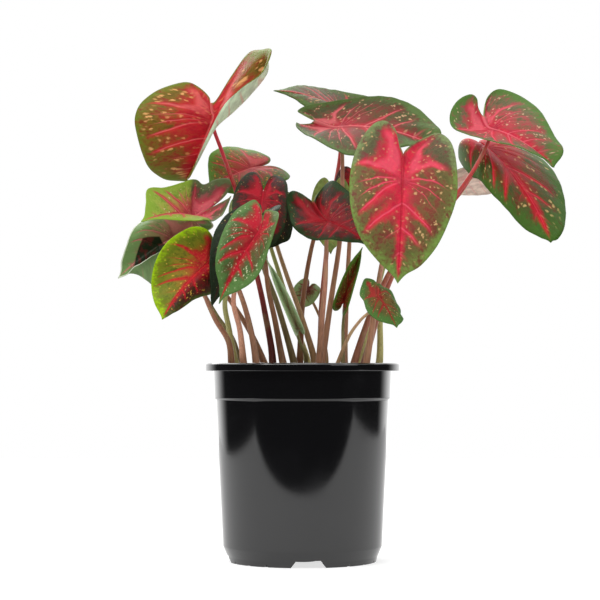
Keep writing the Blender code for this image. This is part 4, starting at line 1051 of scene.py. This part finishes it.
def inner_radius(height):
    """The radius of the pot's inner side at a height above its foot."""
    if height >= COLLAR_LOW + WALL:
        share = (height - COLLAR_LOW) / (RIM_TOP - RIM_SKIRT - COLLAR_LOW)
        return COLLAR_LOW_RADIUS + share * (COLLAR_TOP_RADIUS - COLLAR_LOW_RADIUS) - WALL
    share = (height - BODY_LOW) / (COLLAR_LOW - BODY_LOW)
    return BODY_LOW_RADIUS + share * (BODY_TOP_RADIUS - BODY_LOW_RADIUS) - WALL


def make_pot():
    skirt_low = RIM_TOP - RIM_SKIRT
    channel_in = FOOT_RADIUS - FOOT_WIDTH
    outside = [
        (0, 0),
        (CENTRE_FOOT_RADIUS, 0),
        (CENTRE_FOOT_RADIUS + FLOOR_SLOPE, FLOOR_HEIGHT),
        (channel_in - FLOOR_SLOPE, FLOOR_HEIGHT),
        (channel_in, 0),
        (FOOT_RADIUS - SLANT, 0),
        (FOOT_RADIUS + SLANT, FOOT_LIP),
        (BODY_LOW_RADIUS, BODY_LOW),
        (BODY_TOP_RADIUS, COLLAR_LOW - SLANT),
        (COLLAR_LOW_RADIUS, COLLAR_LOW + SLANT),
        (COLLAR_TOP_RADIUS, skirt_low),
        (COLLAR_TOP_RADIUS + SLANT / 2, RIM_TOP - WALL),
        (RIM_RADIUS - WALL, RIM_TOP - WALL),
        (RIM_RADIUS - WALL, skirt_low),
        (RIM_RADIUS, skirt_low),
        (RIM_RADIUS, RIM_TOP - WALL),
        (RIM_RADIUS - WALL, RIM_TOP),
    ]
    inside = [
        (COLLAR_TOP_RADIUS, RIM_TOP),
        (COLLAR_TOP_RADIUS - WALL, RIM_TOP - WALL),
        (inner_radius(COLLAR_LOW + WALL), COLLAR_LOW + WALL),
        (inner_radius(COLLAR_LOW - WALL), COLLAR_LOW - WALL),
        (inner_radius(BODY_LOW), BODY_LOW),
        (FOOT_RADIUS - WALL, HEEL_HEIGHT),
        (FOOT_RADIUS - WALL - HEEL_INSET, WALL),
        (channel_in + WALL, WALL),
        (channel_in - FLOOR_SLOPE + WALL, FLOOR_HEIGHT + WALL),
        (CENTRE_FOOT_RADIUS + FLOOR_SLOPE - WALL, FLOOR_HEIGHT + WALL),
        (CENTRE_FOOT_RADIUS - WALL, WALL),
        (0, WALL),
    ]
    profile = rounded(outside + inside, CORNER_ROUNDING)
    pot = turned("pot_shell", profile, POT_SEGMENTS, pot_plastic())
    cutters = [foot_notch(FOOT_TURN + turn) for turn in NOTCH_TURNS]
    for side in (FOOT_TURN, FOOT_TURN + 180):
        for turn in NICK_TURNS:
            cutters += [foot_nick(side + turn), foot_nick(side - turn)]
    cutters += [drain_hole(index) for index in range(DRAIN_COUNT)]
    cut(pot, cutters, "foot openings")
    pot.data.shade_smooth()
    pot.data.set_sharp_from_angle(angle=math.radians(SHARP_ANGLE))
    return keep(pot, "pot", "pot")


def cutter(near, far):
    """A closed solid between two outlines that have as many points."""
    count = len(near)
    rings = [list(range(count)), list(range(count, 2 * count))]
    return face_outwards(add_piece("cutter", near + far, rings + walls(*rings), [], smooth=False))


def foot_cutter(outline, start, turn):
    """An outline of across and up, run outwards from a radius to past the foot, turned from the front."""
    facing = Matrix.Rotation(math.radians(turn), 4, "Z")
    return cutter(*([facing @ Vector((x, -along, z)) for x, z in outline]
                    for along in (start, FOOT_RADIUS + CUT_PAST)))


def foot_notch(turn):
    low, top = NOTCH_LOW_WIDTH / 2, NOTCH_TOP_WIDTH / 2
    outline = [(-low, -CUT_BELOW), (low, -CUT_BELOW), (top, FLOOR_HEIGHT), (-top, FLOOR_HEIGHT)]
    return foot_cutter(outline, FOOT_RADIUS - FOOT_WIDTH - 4 * MM, turn)


def foot_nick(turn):
    half = NICK_WIDTH / 2
    outline = [(-half, -CUT_BELOW), (half, -CUT_BELOW), (0, NICK_HEIGHT)]
    return foot_cutter(outline, FOOT_RADIUS - 3 * WALL, turn)


def drain_hole(index):
    turn = 2 * math.pi * (index + 0.5) / DRAIN_COUNT
    x, y = DRAIN_CIRCLE * math.cos(turn), DRAIN_CIRCLE * math.sin(turn)
    turns = [2 * math.pi * step / DRAIN_SIDES for step in range(DRAIN_SIDES)]
    circle = [(x + DRAIN_RADIUS * math.cos(turn), y + DRAIN_RADIUS * math.sin(turn)) for turn in turns]
    return cutter(*([(*place, FLOOR_HEIGHT + level) for place in circle] for level in DRAIN_CUT))


def soil_height(x, y):
    """The soil is a little crowned and lumpy, and crumbly where it shows."""
    away = math.hypot(x, y) / COLLAR_TOP_RADIUS
    lumps = math.sin(x / (7 * MM)) * math.cos(y / (8 * MM)) + 0.6 * math.sin((x + 1.7 * y) / (5 * MM))
    crumbs = 0.7 * noise.noise((x * 260, y * 260, 0)) + 0.4 * noise.noise((x * 700, y * 700, 5))
    return SOIL_EDGE + SOIL_CROWN * (1 - away * away) + SOIL_LUMP * (lumps * (1 - away ** 6) + crumbs)


def make_soil():
    floor = FLOOR_HEIGHT + WALL + SOIL_LIFT
    low_side = [
        (FOOT_RADIUS - 3 * MM, floor),
        (inner_radius(BODY_LOW) - SOIL_CLEAR, BODY_LOW + 1 * MM),
        (inner_radius(COLLAR_LOW - 2 * WALL) - SOIL_CLEAR, COLLAR_LOW - 2 * WALL),
        (inner_radius(COLLAR_LOW + 2 * WALL) - SOIL_CLEAR, COLLAR_LOW + 2 * WALL),
    ]
    edge = inner_radius(SOIL_EDGE) - SOIL_CLEAR
    top = [(edge * (SOIL_RINGS - ring) / SOIL_RINGS, SOIL_EDGE) for ring in range(SOIL_RINGS + 1)]
    soil = turned("soil_bed", [(0, floor)] + low_side + top, SOIL_SEGMENTS, soil_crust())
    for vertex in soil.data.vertices:
        if abs(vertex.co.z - SOIL_EDGE) < 0.01 * MM:
            vertex.co.z = soil_height(vertex.co.x, vertex.co.y)
    return keep(soil, "soil", "soil")


def make_crumbs(name, count, sizes, seed, material):
    """Small rough pieces that lie on the soil."""
    chance = random.Random(seed)
    ball = bmesh.new()
    bmesh.ops.create_icosphere(ball, subdivisions=2, radius=1)
    shape = [vertex.co.copy() for vertex in ball.verts]
    corners = [[vertex.index for vertex in face.verts] for face in ball.faces]
    ball.free()
    points = []
    faces = []
    for _ in range(count):
        away = (COLLAR_TOP_RADIUS - 5 * MM) * math.sqrt(chance.random())
        around = chance.uniform(0, 2 * math.pi)
        x, y = away * math.cos(around), away * math.sin(around)
        size = chance.uniform(*sizes) * MM
        stretch = Vector((1, chance.uniform(0.5, 0.9), chance.uniform(0.35, 0.7))) * size
        turn = Matrix.Rotation(chance.uniform(0, 2 * math.pi), 3, "Z")
        tip = Matrix.Rotation(chance.uniform(-0.5, 0.5), 3, "X")
        start = len(points)
        for place in shape:
            rough = 1 + 0.35 * noise.noise(place * 1.7 + Vector((start, 0, 0)))
            corner = turn @ (tip @ (place * stretch * rough))
            points.append(corner + Vector((x, y, soil_height(x, y) + 0.2 * size)))
        faces += [[start + corner for corner in face] for face in corners]
    return keep(face_outwards(add_piece(name, points, faces, [material])), "soil")


def make_light(name, place, size, watts):
    light = bpy.data.lights.new(name, "AREA")
    light.size = size
    light.energy = watts
    lamp = link(bpy.data.objects.new(name, light))
    lamp.location = place
    lamp.rotation_euler = (Vector(LIGHT_AIM) - Vector(place)).to_track_quat("-Z", "Y").to_euler()


def make_studio():
    """A white studio. A glossy pot shows it dark in front, where the camera stands, and bright above and
    behind."""
    scene = bpy.context.scene
    scene.view_settings.view_transform = "Standard"
    scene.world = bpy.data.worlds.new("studio")
    sky = Paint(scene.world, "Background", Color=(1, 1, 1, 1))
    ways = sky.split(sky.node("TexCoord"))[1:]
    back, top = (DARK_SKY + (bright - DARK_SKY) * way.rises(low, high)
                 for way, (low, high, bright) in zip(ways, (BACK_SKY, TOP_SKY)))
    glossy = sky.node("LightPath", output="Is Glossy Ray")
    seen = sky.node("LightPath", output="Is Camera Ray")
    strength = glossy * back.most(top) + (1 - glossy) * DIFFUSE_SKY
    sky.shade({"Strength": seen + (1 - seen) * strength})
    for light in LIGHTS:
        make_light(*light)
    paper = finish("studio floor", Roughness=0.9, Emission_Color=(1, 1, 1, 1), Emission_Strength=FLOOR_GLOW)
    soft = paper.noise(paper.place(), 3.0)
    paper.shade({"Base Color": paper.blend(soft, screen((168, 168, 168)), screen((172, 172, 172)))})
    add_piece("studio_floor", FLOOR_CORNERS, [[0, 1, 2, 3]], [paper.owner], smooth=False)


def make_camera():
    lens = bpy.data.cameras.new("camera")
    lens.sensor_fit = "HORIZONTAL"
    lens.sensor_width = SENSOR_WIDTH
    lens.lens = CAMERA_LENS
    camera = link(bpy.data.objects.new("camera", lens))
    camera.location = CAMERA_PLACE
    camera.rotation_euler = (math.radians(CAMERA_TILT), 0, 0)
    bpy.context.scene.camera = camera


def stalk_colour(name):
    return next((colour for colour, names in STALKS.items() if name in names), "brown")


make_camera()
make_studio()
make_pot()
make_soil()
make_crumbs(*BARK_CHIPS, bark())
make_crumbs(*PERLITE_BEADS, perlite())
dull_brown = tuber_skin()
for tuber in range(1, len(TUBER_SPOTS) + 1):
    for material_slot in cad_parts[f"tuber_{tuber}"].material_slots:
        material_slot.material = dull_brown
skins = {name: stalk_skin(name, *pair) for name, pair in STALK_COLOURS.items()}
for leaf in LEAVES:
    make_blade(leaf)
    make_stalk(leaf, skins[stalk_colour(leaf.name)])
